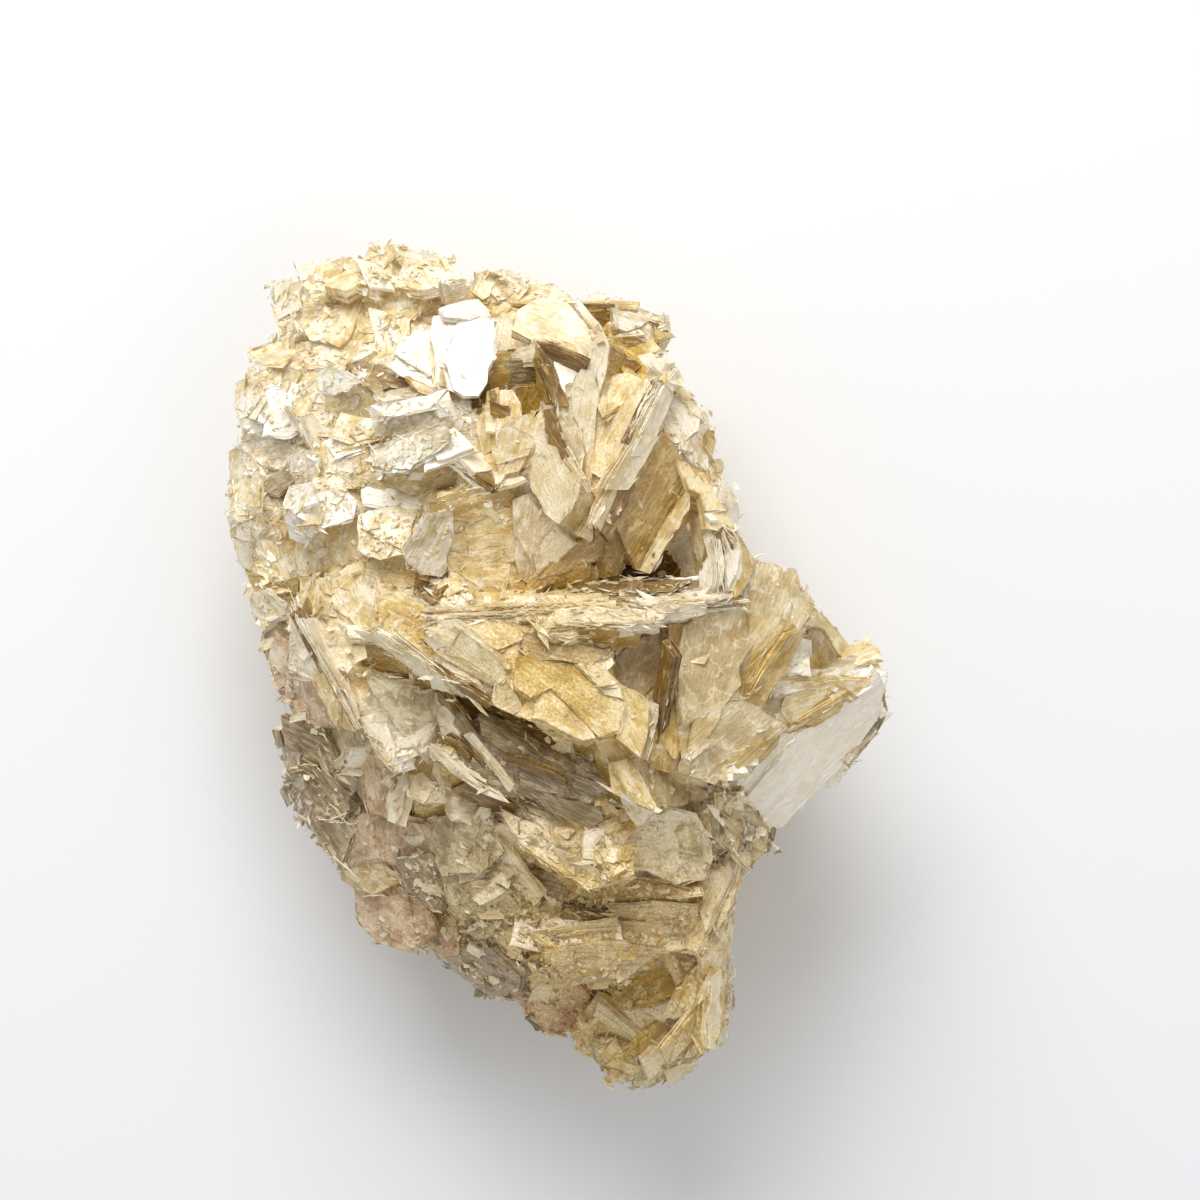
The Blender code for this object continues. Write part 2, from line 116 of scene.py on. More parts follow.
def cellNode(tree, vector, scale, feature="F1"):
    return node(tree, "ShaderNodeTexVoronoi", {"Vector": vector, "Scale": scale}, feature=feature)


def splitNode(tree, value):
    return node(tree, "ShaderNodeSeparateColor", {"Color": value})


def lessNode(tree, value):
    # 1 - value
    return mathNode(tree, "SUBTRACT", 1.0, value)


def makeSheetLines():
    # fine pale lines along a sheet, where the edges of thinner sheets end on it, and dark lines of painted
    # shadow beside them
    group, given = startGroup("sheetLines", {"Per mm": 2.0})
    along = stretchNode(group, given["Vector"], (0.16, 1.0, 0.3))
    noise = noiseNode(group, along, given["Per mm"], 4.0, 0.68, 0.5)["Fac"]
    lines, shadow = stepNode(group, noise, 0.50, 0.60), stepNode(group, lessNode(group, noise), 0.51, 0.65)
    return endGroup(group, Lines=lines, Shadow=shadow, Height=noise)


def makeLeaves():
    # the edges of single leaves, one over the other, round a book's rim
    group, given = startGroup("leaves", {"Layer": 0.0, "Per mm": 4.0})
    place = node(group, "ShaderNodeSeparateXYZ", {0: given["Vector"]})
    x, y = (mathNode(group, "MULTIPLY", place[index], 0.55) for index in (0, 1))
    level = mathNode(group, "MULTIPLY", given["Layer"], given["Per mm"])
    stack = node(group, "ShaderNodeCombineXYZ", {0: x, 1: y, 2: level})[0]
    noise = noiseNode(group, stack, 1.0, 3.0, 0.7)["Fac"]
    return endGroup(group, Lines=stepNode(group, noise, 0.4, 0.6), Height=noise)


def makeCrazing():
    # hairline cracks inside a sheet, which fade in and out
    group, given = startGroup("crazing", {"Per mm": 0.5})
    bend = noiseNode(group, given["Vector"], 0.42, 2.0, 0.6)
    wide = node(group, "ShaderNodeVectorMath", {0: bend["Color"], "Scale": 6.5}, operation="SCALE")[0]
    bent = node(group, "ShaderNodeMix", {0: 0.36, 4: given["Vector"], 5: wide}, data_type="VECTOR")[1]
    sides = cellNode(group, bent, given["Per mm"], "DISTANCE_TO_EDGE")
    line = lessNode(group, stepNode(group, sides["Distance"], 0.01, 0.06))
    cracks = mathNode(group, "MULTIPLY", line, stepNode(group, bend["Fac"], 0.38, 0.54))
    cells = splitNode(group, cellNode(group, bent, given["Per mm"])["Color"])[0]
    return endGroup(group, Cracks=cracks, Cells=cells)


def makeClouding():
    # soft patches where the stack is thicker or stained, and pale veils where a sheet has come loose
    group, given = startGroup("clouding", {"Per mm": 0.2})
    along = stretchNode(group, given["Vector"], (0.24, 1.25, 1.0))
    patch = noiseNode(group, along, given["Per mm"], 3.0, 0.6)["Fac"]
    veil = noiseNode(group, along, 0.6, 4.0, 0.68, 0.3)["Fac"]
    fine = noiseNode(group, given["Vector"], 2.6, 3.0, 0.7)["Fac"]
    return endGroup(
        group, Patch=stepNode(group, patch, 0.36, 0.64), Veil=stepNode(group, veil, 0.51, 0.60),
        Loose=stepNode(group, veil, 0.44, 0.53), Fine=stepNode(group, fine, 0.36, 0.68),
    )


def makeSpecks():
    # grains of dark mineral, few and small
    group, given = startGroup("specks", {"Per mm": 0.5, "Share": 0.1})
    cells = cellNode(group, given["Vector"], given["Per mm"])
    near = lessNode(group, stepNode(group, cells["Distance"], 0.05, 0.13))
    chosen = mathNode(group, "LESS_THAN", splitNode(group, cells["Color"])[1], given["Share"])
    return endGroup(group, Grain=mathNode(group, "MULTIPLY", near, chosen))


def makeScales():
    # small broken leaves: each cell is a plane that leans its own way, height = (place - cell middle) . lean
    group, given = startGroup("scales", {"Per mm": 0.8})
    half = (0.5, 0.5, 0.5)
    along = stretchNode(group, given["Vector"], (0.45, 1.0, 1.0))
    wander = noiseNode(group, along, 1.1, 1.0, 0.6)["Color"]
    place = vectorNode(group, "MULTIPLY_ADD", wander, half, along)[0]
    cells = cellNode(group, place, given["Per mm"])
    away = vectorNode(group, "SUBTRACT", place, cells["Position"])[0]
    lean = vectorNode(group, "SUBTRACT", cells["Color"], half)[0]
    chance = splitNode(group, cells["Color"])
    height = vectorNode(group, "DOT_PRODUCT", away, lean)["Value"]
    # Sparkle picks a few cells for painted glints
    return endGroup(group, Height=height, Tone=chance[1], Sparkle=stepNode(group, chance[2], 0.92, 0.95))


def makeFrosting():
    # crushed white patches and golden stains that run on from one book to the next: the high and low parts
    # of one noise
    group, given = startGroup("frosting", {"Per mm": 0.2})
    perMetre = mathNode(group, "MULTIPLY", given["Per mm"], 1 / mm)
    noise = noiseNode(group, given["Vector"], perMetre, 4.0, 0.72, 0.3)["Fac"]
    white, gold = stepNode(group, noise, 0.50, 0.575), stepNode(group, lessNode(group, noise), 0.47, 0.68)
    return endGroup(group, White=white, Gold=gold)


patterns = dict(
    lines=makeSheetLines(), leaves=makeLeaves(), cracks=makeCrazing(), cloud=makeClouding(),
    specks=makeSpecks(), chips=makeScales(), frosting=makeFrosting(),
)
print("shader groups made:", len(patterns))

# face and stain are the two colours of a sheet's face, edge and edgeDark those of its torn rim, and crevices
# and shaded places are multiplied by the painted shade colour. rough, coat and the painted glow, an
# emission, are the shader's own, and the other values are shares, among them that of the painted shadow
# lines
finishes = {
    "pearl": dict(
        face=(246, 238, 218), stain=(226, 209, 170), edge=(255, 250, 238), edgeDark=(204, 180, 132),
        paintedShade=(0.76, 0.63, 0.35, 1), lines=0.34, shadowLines=0.05, veil=0.66, loose=0.36, frost=0.20,
        rough=0.30, coat=0.35, white=0.60, gold=0.46, paintedGlow=0.04,
    ),
    "glare": dict(
        face=(243, 236, 222), stain=(236, 224, 200), edge=(255, 253, 249), edgeDark=(214, 191, 148),
        paintedShade=(0.82, 0.70, 0.44, 1), lines=0.20, shadowLines=0.10, veil=0.40, loose=0.20, frost=0.10,
        rough=0.26, coat=0.45, white=0.10, gold=0.22, paintedGlow=0.00,
    ),
    # clear is the window, near white and shining with a strong painted glow
    "clear": dict(
        face=(254, 253, 249), stain=(250, 246, 236), edge=(255, 254, 250), edgeDark=(226, 208, 172),
        paintedShade=(0.90, 0.84, 0.72, 1), lines=0.10, shadowLines=0.03, veil=0.40, loose=0.20, frost=0.05,
        rough=0.30, coat=0.35, white=0.00, gold=0.06, paintedGlow=0.55,
    ),
    "cream": dict(
        face=(234, 213, 160), stain=(212, 186, 122), edge=(254, 246, 226), edgeDark=(180, 149, 86),
        paintedShade=(0.70, 0.55, 0.28, 1), lines=0.48, shadowLines=0.10, veil=0.62, loose=0.28, frost=0.24,
        rough=0.32, coat=0.30, white=0.88, gold=0.55, paintedGlow=0.05,
    ),
    "honey": dict(
        face=(220, 193, 127), stain=(200, 168, 96), edge=(252, 242, 214), edgeDark=(158, 125, 62),
        paintedShade=(0.62, 0.47, 0.19, 1), lines=0.46, shadowLines=0.14, veil=0.50, loose=0.18, frost=0.20,
        rough=0.28, coat=0.35, white=0.72, gold=0.42, paintedGlow=0.05,
    ),
    "amber": dict(
        face=(194, 160, 92), stain=(170, 134, 66), edge=(242, 224, 178), edgeDark=(132, 99, 44),
        paintedShade=(0.57, 0.42, 0.17, 1), lines=0.54, shadowLines=0.28, veil=0.26, loose=0.05, frost=0.06,
        rough=0.28, coat=0.40, white=0.35, gold=0.35, paintedGlow=0.03,
    ),
    "bark": dict(
        face=(132, 101, 55), stain=(100, 72, 35), edge=(206, 180, 132), edgeDark=(84, 58, 27),
        paintedShade=(0.55, 0.41, 0.20, 1), lines=0.57, shadowLines=0.39, veil=0.10, loose=0.03, frost=0.05,
        rough=0.36, coat=0.30, white=0.12, gold=0.20, paintedGlow=0.01,
    ),
    "slate": dict(
        face=(144, 122, 84), stain=(114, 92, 56), edge=(234, 222, 196), edgeDark=(100, 77, 42),
        paintedShade=(0.60, 0.46, 0.24, 1), lines=0.49, shadowLines=0.39, veil=0.24, loose=0.05, frost=0.08,
        rough=0.30, coat=0.35, white=0.25, gold=0.30, paintedGlow=0.01,
    ),
    "silver": dict(
        face=(222, 208, 176), stain=(196, 175, 126), edge=(254, 249, 237), edgeDark=(152, 126, 76),
        paintedShade=(0.70, 0.55, 0.29, 1), lines=0.56, shadowLines=0.20, veil=0.62, loose=0.20, frost=0.15,
        rough=0.26, coat=0.45, white=0.66, gold=0.45, paintedGlow=0.04,
    ),
    "haze": dict(
        face=(192, 173, 130), stain=(176, 151, 100), edge=(240, 229, 200), edgeDark=(150, 121, 70),
        paintedShade=(0.66, 0.50, 0.25, 1), lines=0.18, shadowLines=0.12, cracks=0.85, veil=0.16, loose=0.06, frost=0.06,
        rough=0.28, coat=0.40, white=0.30, gold=0.50, paintedGlow=0.02,
    ),
    "moon": dict(
        face=(244, 235, 218), stain=(232, 219, 196), edge=(252, 247, 238), edgeDark=(150, 130, 98),
        paintedShade=(0.90, 0.84, 0.72, 1), lines=0.14, shadowLines=0.08, veil=0.25, loose=0.12, frost=0.06,
        rough=0.36, coat=0.25, white=0.35, gold=0.06, paintedGlow=0.10,
    ),
    "lichen": dict(
        face=(194, 177, 131), stain=(162, 142, 94), edge=(244, 234, 210), edgeDark=(128, 103, 58),
        paintedShade=(0.60, 0.48, 0.24, 1), lines=0.24, shadowLines=0.10, cracks=0.75, veil=0.42, loose=0.20, frost=0.10,
        rough=0.30, coat=0.35, white=0.60, gold=0.55, paintedGlow=0.02,
    ),
    "rose": dict(
        face=(214, 180, 146), stain=(188, 150, 112), edge=(248, 236, 214), edgeDark=(142, 107, 67),
        paintedShade=(0.63, 0.48, 0.26, 1), lines=0.49, shadowLines=0.16, cracks=0.30, veil=0.38, loose=0.12, frost=0.10,
        rough=0.32, coat=0.30, white=0.55, gold=0.45, paintedGlow=0.02,
    ),
}
patternPerMm = dict(lines=2.2, leaves=3.2, cracks=0.42, cloud=0.16, specks=0.5, chips=1.5, frosting=0.28)
# what all finishes have in common. rimStep holds the ends of a step, rimWorn and the breakup of the painted
# shade each a factor and a base
mica = dict(
    speck=(58, 46, 34), speckShare=0.8, specksKept=0.04, cellShare=0.16, chipShare=0.20, sparkleShare=0.85,
    rimTone=0.2, rimFine=0.35, rimStep=(-0.15, 0.65), rimWorn=(0.55, 0.55), shadeBreakup=(1.1, 0.35),
    sheetTone=0.08, saturation=1.19, roughMore=0.22, lineHeight=1.1, chipHeight=1.1, rimHeight=2.2,
    bump=0.9, bumpDepth=0.26, coatRough=0.18, coatIor=1.75, specular=0.8,
)


def micaMaterial(name, look):
    material = bpy.data.materials.new(name)
    material.use_nodes = True
    tree = material.node_tree
    tones = {label: colour(*look[label]) for label in ("face", "stain", "edge", "edgeDark")}
    tones["speck"] = colour(*mica["speck"])
    plane = node(tree, "ShaderNodeUVMap", {}, uv_map="sheetPlane")["UV"]
    spot = node(tree, "ShaderNodeTexCoord", {})["Object"]
    rim, shade, layer, paintedShade = (
        node(tree, "ShaderNodeAttribute", {}, attribute_name=label)["Fac"]
        for label in ("rim", "shade", "layer", "paintedShade")
    )

    def pattern(label, place, **more):
        sockets = {"Vector": place, "Per mm": patternPerMm[label], **more}
        return node(tree, "ShaderNodeGroup", sockets, node_tree=patterns[label])

    def times(first, second, clamp=False):
        return mathNode(tree, "MULTIPLY", first, second, clamp=clamp)

    def plus(first, second):
        return mathNode(tree, "ADD", first, second)

    lines, cloud, chips = pattern("lines", plane), pattern("cloud", plane), pattern("chips", plane)
    rimLeaves = pattern("leaves", plane, Layer=layer)
    specks = pattern("specks", plane, Share=mica["specksKept"])
    # what lies over a sheet's face in turn: a mask, its share, and its colour
    # painted shadow: the Shadow lines are dark lines beside the edges of thinner sheets
    layers = [
        (lines["Shadow"], look["shadowLines"], "edgeDark"), (lines["Lines"], look["lines"], "edge"),
        (cloud["Veil"], look["veil"], "edge"), (cloud["Loose"], look["loose"], "edge"),
        (chips["Tone"], mica["chipShare"], "edge"), (cloud["Fine"], look["frost"], "edge"),
        # painted glints: the Sparkle cells turn near white
        (chips["Sparkle"], mica["sparkleShare"], "edge"), (specks["Grain"], mica["speckShare"], "speck"),
    ]
    if "cracks" in look:
        cracks, share = pattern("cracks", plane), look["cracks"]
        cells = (cracks["Cells"], mica["cellShare"] * share, "edge")
        layers[4:4] = [(cracks["Cracks"], share, "edge"), cells]
    face = mixNode(tree, cloud["Patch"], tones["face"], tones["stain"])
    for mask, share, tone in layers:
        face = mixNode(tree, times(mask, share), face, tones[tone])
    # the rim: pale where the torn leaves catch light, dark where the stack is stained
    torn = plus(times(shade, mica["rimTone"]), rimLeaves["Lines"])
    torn = plus(torn, times(cloud["Fine"], mica["rimFine"]))
    rimColour = mixNode(tree, stepNode(tree, torn, *mica["rimStep"]), tones["edgeDark"], tones["edge"])
    ragged = mathNode(tree, "MULTIPLY_ADD", cloud["Veil"], *mica["rimWorn"])
    whole = mixNode(tree, times(rim, ragged, clamp=True), face, rimColour)
    broad = pattern("frosting", spot)
    whole = mixNode(tree, times(broad["Gold"], look["gold"]), whole, tones["edgeDark"])
    whole = mixNode(tree, times(broad["White"], look["white"]), whole, tones["edge"])
    # painted shade: deep between the books and at the shaded places the colour is multiplied browner and
    # darker, broken up by fine noise, as where light has gone through more mica
    shadeBreakup = mathNode(tree, "MULTIPLY_ADD", cloud["Fine"], *mica["shadeBreakup"])
    whole = mixNode(tree, times(paintedShade, shadeBreakup, clamp=True), whole, look["paintedShade"], "MULTIPLY")
    # each sheet is a little lighter or darker than the next
    light = mathNode(tree, "MULTIPLY_ADD", shade, mica["sheetTone"], 1.0)
    tint = {"Saturation": mica["saturation"], "Value": light, "Color": whole}
    height = plus(times(lines["Height"], mica["lineHeight"]), times(chips["Height"], mica["chipHeight"]))
    height = plus(height, times(times(rimLeaves["Height"], mica["rimHeight"]), rim))
    bump = {"Strength": mica["bump"], "Distance": mica["bumpDepth"] * mm, "Height": height}
    # the painted glow, an emission in the face colour, stands in for the light that comes through from
    # behind, most in a thin clear sheet, and lifts the shade a little elsewhere
    feed(tree, tree.nodes["Principled BSDF"], {
        "Base Color": node(tree, "ShaderNodeHueSaturation", tint)["Color"],
        "Roughness": mathNode(tree, "MULTIPLY_ADD", cloud["Fine"], mica["roughMore"], look["rough"]),
        "Normal": node(tree, "ShaderNodeBump", bump)["Normal"],
        "Emission Color": tones["face"],
        "Emission Strength": look["paintedGlow"],
        "Coat Weight": look["coat"],
        "Coat Roughness": mica["coatRough"],
        "Coat IOR": mica["coatIor"],
        "Specular IOR Level": mica["specular"],
    })
    return material


materials = {name: micaMaterial(name + "Mica", look) for name, look in finishes.items()}
print("finishes made:", len(materials))


def rowsOf(items, key, kind=np.float32, width=3):
    # one property of all the items, a row for each
    values = np.empty(len(items) * width, kind)
    items.foreach_get(key, values)
    return values.reshape(-1, width)


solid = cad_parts["mica_cluster"]
solid.data.calc_loop_triangles()
solidPoints = rowsOf(solid.data.vertices, "co", np.float64) / mm
solidFaces = rowsOf(solid.data.loop_triangles, "vertices", np.int32)
solidTree = BVHTree.FromPolygons(solidPoints.tolist(), solidFaces.tolist())
# above the whole solid, and the height that is taken beside it
skyHeight, usualHeight = 100, 28


def topOf(x, y):
    # height of the solid's upper side over one spot, None beside it
    hit = solidTree.ray_cast(Vector((x, y, skyHeight)), Vector((0, 0, -1)))[0]
    return hit.z if hit else None


def heightAt(x, y):
    top = topOf(x, y)
    return usualHeight if top is None else top


def leanAxes(heading, toward, tilt):
    # the face's normal leans by tilt the way of toward, and the long side shows along heading from above
    lean, way, turn = np.radians([tilt, toward, heading])
    normal = np.array([math.sin(lean) * math.cos(way), math.sin(lean) * math.sin(way), math.cos(lean)])
    seen = np.array([math.cos(turn), math.sin(turn), 0.0])
    seen[2] = -normal @ seen / normal[2]
    longSide = seen / np.linalg.norm(seen)
    return longSide, np.cross(normal, longSide), normal


# outlines are given as they look to the front camera: its axis over x and y, its height, and its distance to
# the plane where they have their true size
front = dict(x=6.0, y=8.67, height=728.0, distance=700.0)


def fromFront(outline, z):
    # a shape that looks this size at height z: axis + (corner - axis) (height - z) / distance
    axis = np.array([front["x"], front["y"]])
    return axis + (outline - axis) * (front["height"] - z) / front["distance"]


def insideOf(points, outline):
    # a point is inside when an odd number of sides pass it on its right
    x, y = points[:, :1], points[:, 1:2]
    (x0, y0), (x1, y1) = outline.T, np.roll(outline, -1, 0).T
    at = x0 + (y - y0) * (x1 - x0) / np.where(y1 == y0, 1e-9, y1 - y0)
    return (((y0 > y) != (y1 > y)) & (x < at)).sum(1) % 2 == 1


def gridOver(outline, first, last, count):
    # count by count spots, from the share first to the share last of the outline's box
    low, high = outline.min(0), outline.max(0)
    steps = np.linspace(first, last, count)
    return low + np.stack(np.meshgrid(steps, steps), -1).reshape(-1, 2) * (high - low)


def waysOut(outline):
    # each side's outward way, (dy, -dx) over its length, and its length
    side = np.roll(outline, -1, 0) - outline
    span = np.linalg.norm(side, axis=1, keepdims=True)
    return np.stack([side[:, 1], -side[:, 0]], -1) / span, span[:, 0]


def middleOf(outline):
    # the middle of the spots that lie farthest inside the lines of all sides
    grid = gridOver(outline, 0, 1, 33)
    inside = ((outline - grid[:, None]) * waysOut(outline)[0]).sum(-1).min(1)
    best = inside.max()
    return grid[inside >= best - 0.1 * abs(best)].mean(0)


def faceOver(plate, points):
    # height of a plate's face over each spot, z - ((x, y) - middle) . n_xy / n_z
    return plate["face"][2] - (points[:, :2] - plate["face"][:2]) @ plate["normal"][:2] / plate["normal"][2]


# a blade whose normal points up by more than flat lies flat, and is probed at these shares of its size
blade = dict(flat=0.62, along=(-0.32, -0.16, 0, 0.16, 0.32), across=(-0.3, 0, 0.3))


def seat(x, y, axes, size, lift):
    # a flat blade lies with its face at the median height of the solid under it, and a steep one stands
    # with its highest rim on it
    length, width, thickness = size
    steps = [u * length * axes[0] + v * width * axes[1] for u in blade["along"] for v in blade["across"]]
    tops = [topOf(x + step[0], y + step[1]) for step in steps]
    levels = [top - step[2] for top, step in zip(tops, steps) if top is not None]
    if axes[2][2] > blade["flat"] and levels:
        return np.array([x, y, np.median(levels)]) + (lift - thickness / 2) * axes[2]
    rise = (width * abs(axes[1][2]) + thickness * axes[2][2]) / 2
    return np.array([x, y, heightAt(x, y) - min(rise, thickness / 2 / axes[2][2]) + lift])


def ripple(x, y, luck, count, longest, shortest):
    # sum over j of w_j sin(2 pi (x cos a_j + y sin a_j) / w_j + p_j), over the sum of the count waves w_j
    wave = np.geomspace(longest, shortest, count)
    way, phase = luck.uniform(0, 2 * np.pi, (2, count))
    along = x[..., None] * np.cos(way) + y[..., None] * np.sin(way)
    return (wave * np.sin(2 * np.pi * along / wave + phase)).sum(-1) / wave.sum()


def steadied(rough, times):
    # each row smoothed round the rim by (1, 2, 1) / 4, so many times, then (value - mean) / (deviation +
    # 0.05)
    for _ in range(times):
        rough = 0.5 * rough + 0.25 * (np.roll(rough, 1, 1) + np.roll(rough, -1, 1))
    rough = rough - rough.mean(1, keepdims=True)
    return rough / (rough.std() + 0.05)


def jag(luck, rows, around):
    # torn line: 0.6 of quick random steps round the rim, and 0.4 of slow ones
    quick = steadied(luck.normal(size=(rows, around)), 1)
    return 0.6 * quick + 0.4 * steadied(luck.normal(size=(rows, around)), 8)


def brokenOutline(length, width, corners, luck):
    # a long book: its ends slant by b tan(slant), and some corners are cut off between two shares of the
    # sides
    a, b = length / 2, width / 2
    slant = b * np.tan(np.radians(luck.uniform(5, 32, 2) * luck.choice([-1, 1], 2)))
    near, far = np.clip(slant, -0.5 * a, 0.5 * a)
    b = b * luck.uniform(0.8, 1.0, 4)
    outline = np.array([(-a + near, -b[0]), (a - far, -b[1]), (a + far, b[2]), (-a - near, b[3])])
    for index in sorted(luck.permutation(4)[: max(corners - 4, 0)].tolist(), reverse=True):
        corner = outline[index]
        ends = outline[index - 1], outline[(index + 1) % len(outline)]
        cuts = [corner + share * (end - corner) for share, end in zip(luck.uniform(0.12, 0.38, 2), ends)]
        outline = np.concatenate([outline[:index], cuts, outline[index + 1 :]])
    return outline


# how stacks of sheets break. The pairs are ranges, walk a mean and a deviation, and the values in mm are
# room, sheetLeast, wide and grooveLeast. The others are shares
stack = dict(
    room=0.4, walk=(0.03, 0.11), walkMost=0.35, cosine=(-0.8, 0.9), cornerMost=1.7, cut=(0.3, 0.85),
    torn=(0.3, 1.6), tornMost=0.5, sheetLeast=0.35, slit=0.2, shade=0.75, topShade=0.35, groove=0.8,
    grooveLeast=0.04, grooveMost=0.4, wide=1.4, rings=(0.96, 0.86, 0.6, 0.3), fewRings=(0.92, 0.5),
    pale=(0.25, 1.0), wear=(1.0, 0.95, 0.15),
)


def sheetRims(outline, sheets, look, luck):
    # sheet k is the outline with side e moved in by walk_ke less spread. Upper sheets end at cuts of their
    # own, x . w <= d, and each rim is torn along its outward way
    out, span = waysOut(outline)
    before = np.roll(out, 1, 0)
    room = max((outline * out).sum(1).min(), stack["room"])
    parts = np.maximum(np.round(span / look["step"]), 1).astype(int)
    side = np.repeat(np.arange(len(outline)), parts)
    around = len(side)
    share = (np.arange(around) - (np.cumsum(parts) - parts)[side]) / parts[side]
    ways = np.where(share[:, None] == 0, out[side] + before[side], out[side])
    ways /= np.linalg.norm(ways, axis=1, keepdims=True) + 1e-9
    # a corner moves by the vector that has both sides' walks along their ways
    walk = np.cumsum(luck.normal(*stack["walk"], (sheets, len(outline))) * look["ledge"], 0)
    walk = np.minimum(walk - walk.min(0), stack["walkMost"] * room) - look["spread"]
    other = np.roll(walk, 1, 1)
    cosine = np.clip((out * before).sum(1), *stack["cosine"])
    move = ((walk - cosine * other) / (1 - cosine**2))[..., None] * out
    move += ((other - cosine * walk) / (1 - cosine**2))[..., None] * before
    # and no further than the sharper corners allow
    longest = stack["cornerMost"] * np.maximum(np.abs(walk), np.abs(other))[..., None]
    move *= np.minimum(1, longest / (np.linalg.norm(move, axis=2, keepdims=True) + 1e-9))
    corner = outline - move
    rims = corner[:, side] + share[:, None] * (np.roll(corner, -1, 1) - corner)[:, side]
    terraces = int(luck.integers(0, look["terraces"] + 1)) if sheets > 2 else 0
    for _ in range(terraces):
        turn, first = luck.uniform(0, 2 * np.pi), int(luck.integers(1, sheets))
        cut = np.array([np.cos(turn), np.sin(turn)])
        far = (outline @ cut).max() * luck.uniform(*stack["cut"])
        rims[first:] /= np.maximum(rims[first:] @ cut / max(far, 0.3), 1)[..., None]
    torn = look["fray"] * luck.uniform(*stack["torn"], (sheets, 1)) * jag(luck, sheets, around)
    most = stack["tornMost"] * room
    return rims + np.clip(torn, -most, most)[..., None] * ways, ways, room


def waveOf(x, y, z, reach, look, luck):
    # how far the book is bent, rippled and curled up: bend (s^2 - 1 / 4) across it, ripples, and a rim that
    # curls with r^5
    turn = luck.uniform(0, 2 * np.pi)
    across = (x * np.cos(turn) + y * np.sin(turn)) / reach.max()
    lift = look["bend"] * luck.uniform(-0.6, 1.0) * (across**2 - 0.25)
    lift += look["relief"] * ripple(x, y, luck, 4, 12.0, 3.0)
    outer = np.append(np.clip(reach / reach.max(0), 0, 1).ravel(), [0, 0])
    curl = np.append(np.broadcast_to(jag(luck, 1, reach.shape[1]), reach.shape).ravel(), [0, 0])
    return lift + look["curl"] * outer**5 * curl * (z / z[-1])


def ringFaces(rows, around):
    # quads between rings of points, and fans from the first and the last ring to the two points after them
    here = np.arange(rows * around).reshape(rows, around)
    beside = np.roll(here, -1, 1)
    quads = np.stack([here[:-1], beside[:-1], beside[1:], here[1:]], -1).reshape(-1, 4)
    under = np.stack([beside[0], here[0], np.full(around, rows * around)], -1)
    over = np.stack([here[-1], beside[-1], np.full(around, rows * around + 1)], -1)
    return quads, np.concatenate([under, over])


def bookShape(place, axes, outline, thickness, sheets, look, tone, luck):
    # the profile runs up the rim, out and in round each sheet, then over the top on rings of shrinking reach
    rims, ways, room = sheetRims(outline, sheets, look, luck)
    around = len(ways)
    share = luck.exponential(1, sheets) + stack["sheetLeast"]
    tops = np.cumsum(share) / share.sum() * thickness
    bottoms = np.concatenate([[0], tops[:-1]])
    slit = stack["slit"] * (tops - bottoms)
    shadeOf = np.clip(luck.normal(0, stack["shade"], sheets), -1, 1)
    shadeOf[-1] *= stack["topShade"]
    following = np.roll(rims, -1, 0)
    reach, onward = (np.linalg.norm(ring, axis=2, keepdims=True) for ring in (rims, following))
    inner = np.where(reach < onward, rims, following)
    groove = look["groove"] * luck.exponential(stack["groove"], (sheets, 1, 1)) + stack["grooveLeast"]
    inner = inner - np.minimum(groove, stack["grooveMost"] * room) * ways
    rings = np.array(stack["rings"] if room > stack["wide"] else stack["fewRings"])
    rim = np.stack([rims, rims, inner], 1).reshape(-1, around, 2)[:-1]
    level = np.stack([bottoms + slit, tops, tops], 1).reshape(-1)[:-1]
    level[0] = 0
    pale = look["pale"] * luck.uniform(*stack["pale"])
    wear = np.tile(stack["wear"], sheets)[:-1]
    spots = np.concatenate([rim, rings[:, None, None] * rims[-1]])
    level = np.concatenate([level, np.full(len(rings), thickness)])
    wear = np.concatenate([wear, np.clip(8 * (rings - 0.86), 0, 0.6)])
    shade = np.concatenate([shadeOf.repeat(3)[:-1], np.full(len(rings), shadeOf[-1])])
    # the last two points, the poles, close the under side and the top
    x, y = np.append(spots[..., 0].ravel(), [0, 0]), np.append(spots[..., 1].ravel(), [0, 0])
    z = np.append(level.repeat(around), [0, thickness])
    layer = z + luck.uniform(0, 40)
    z = z + waveOf(x, y, z, np.linalg.norm(spots, axis=2), look, luck) - thickness / 2
    points = place + x[:, None] * axes[0] + y[:, None] * axes[1] + z[:, None] * axes[2]
    quads, fans = ringFaces(len(spots), around)
    return dict(
        points=points, quads=quads, fans=fans,
        plane=np.stack([x, y], -1) + luck.uniform(0, 60, 2),
        rim=np.append(wear.repeat(around), [0.5, 0]) * pale,
        shade=np.append(shade.repeat(around), [0, shade[-1]]),
        layer=layer, tone=tone, face=axes[2], pale=pale,
        edge=points[: len(spots) * around].reshape(-1, around, 3)[1 : 3 * sheets - 1 : 3],
    )


# strands and flakes: stray is how much a strand turns, off how far it lies from the rim in mm
strand = dict(stray=0.22, off=0.12, length=(0.6, 0.4), width=(0.05, 0.24), thickness=(0.04, 0.10), bias=1.3)
flake = dict(turn=0.3, reach=(0.6, 1.1), sag=0.06, under=0.97, wear=(0.7, 0.4, 0.1))


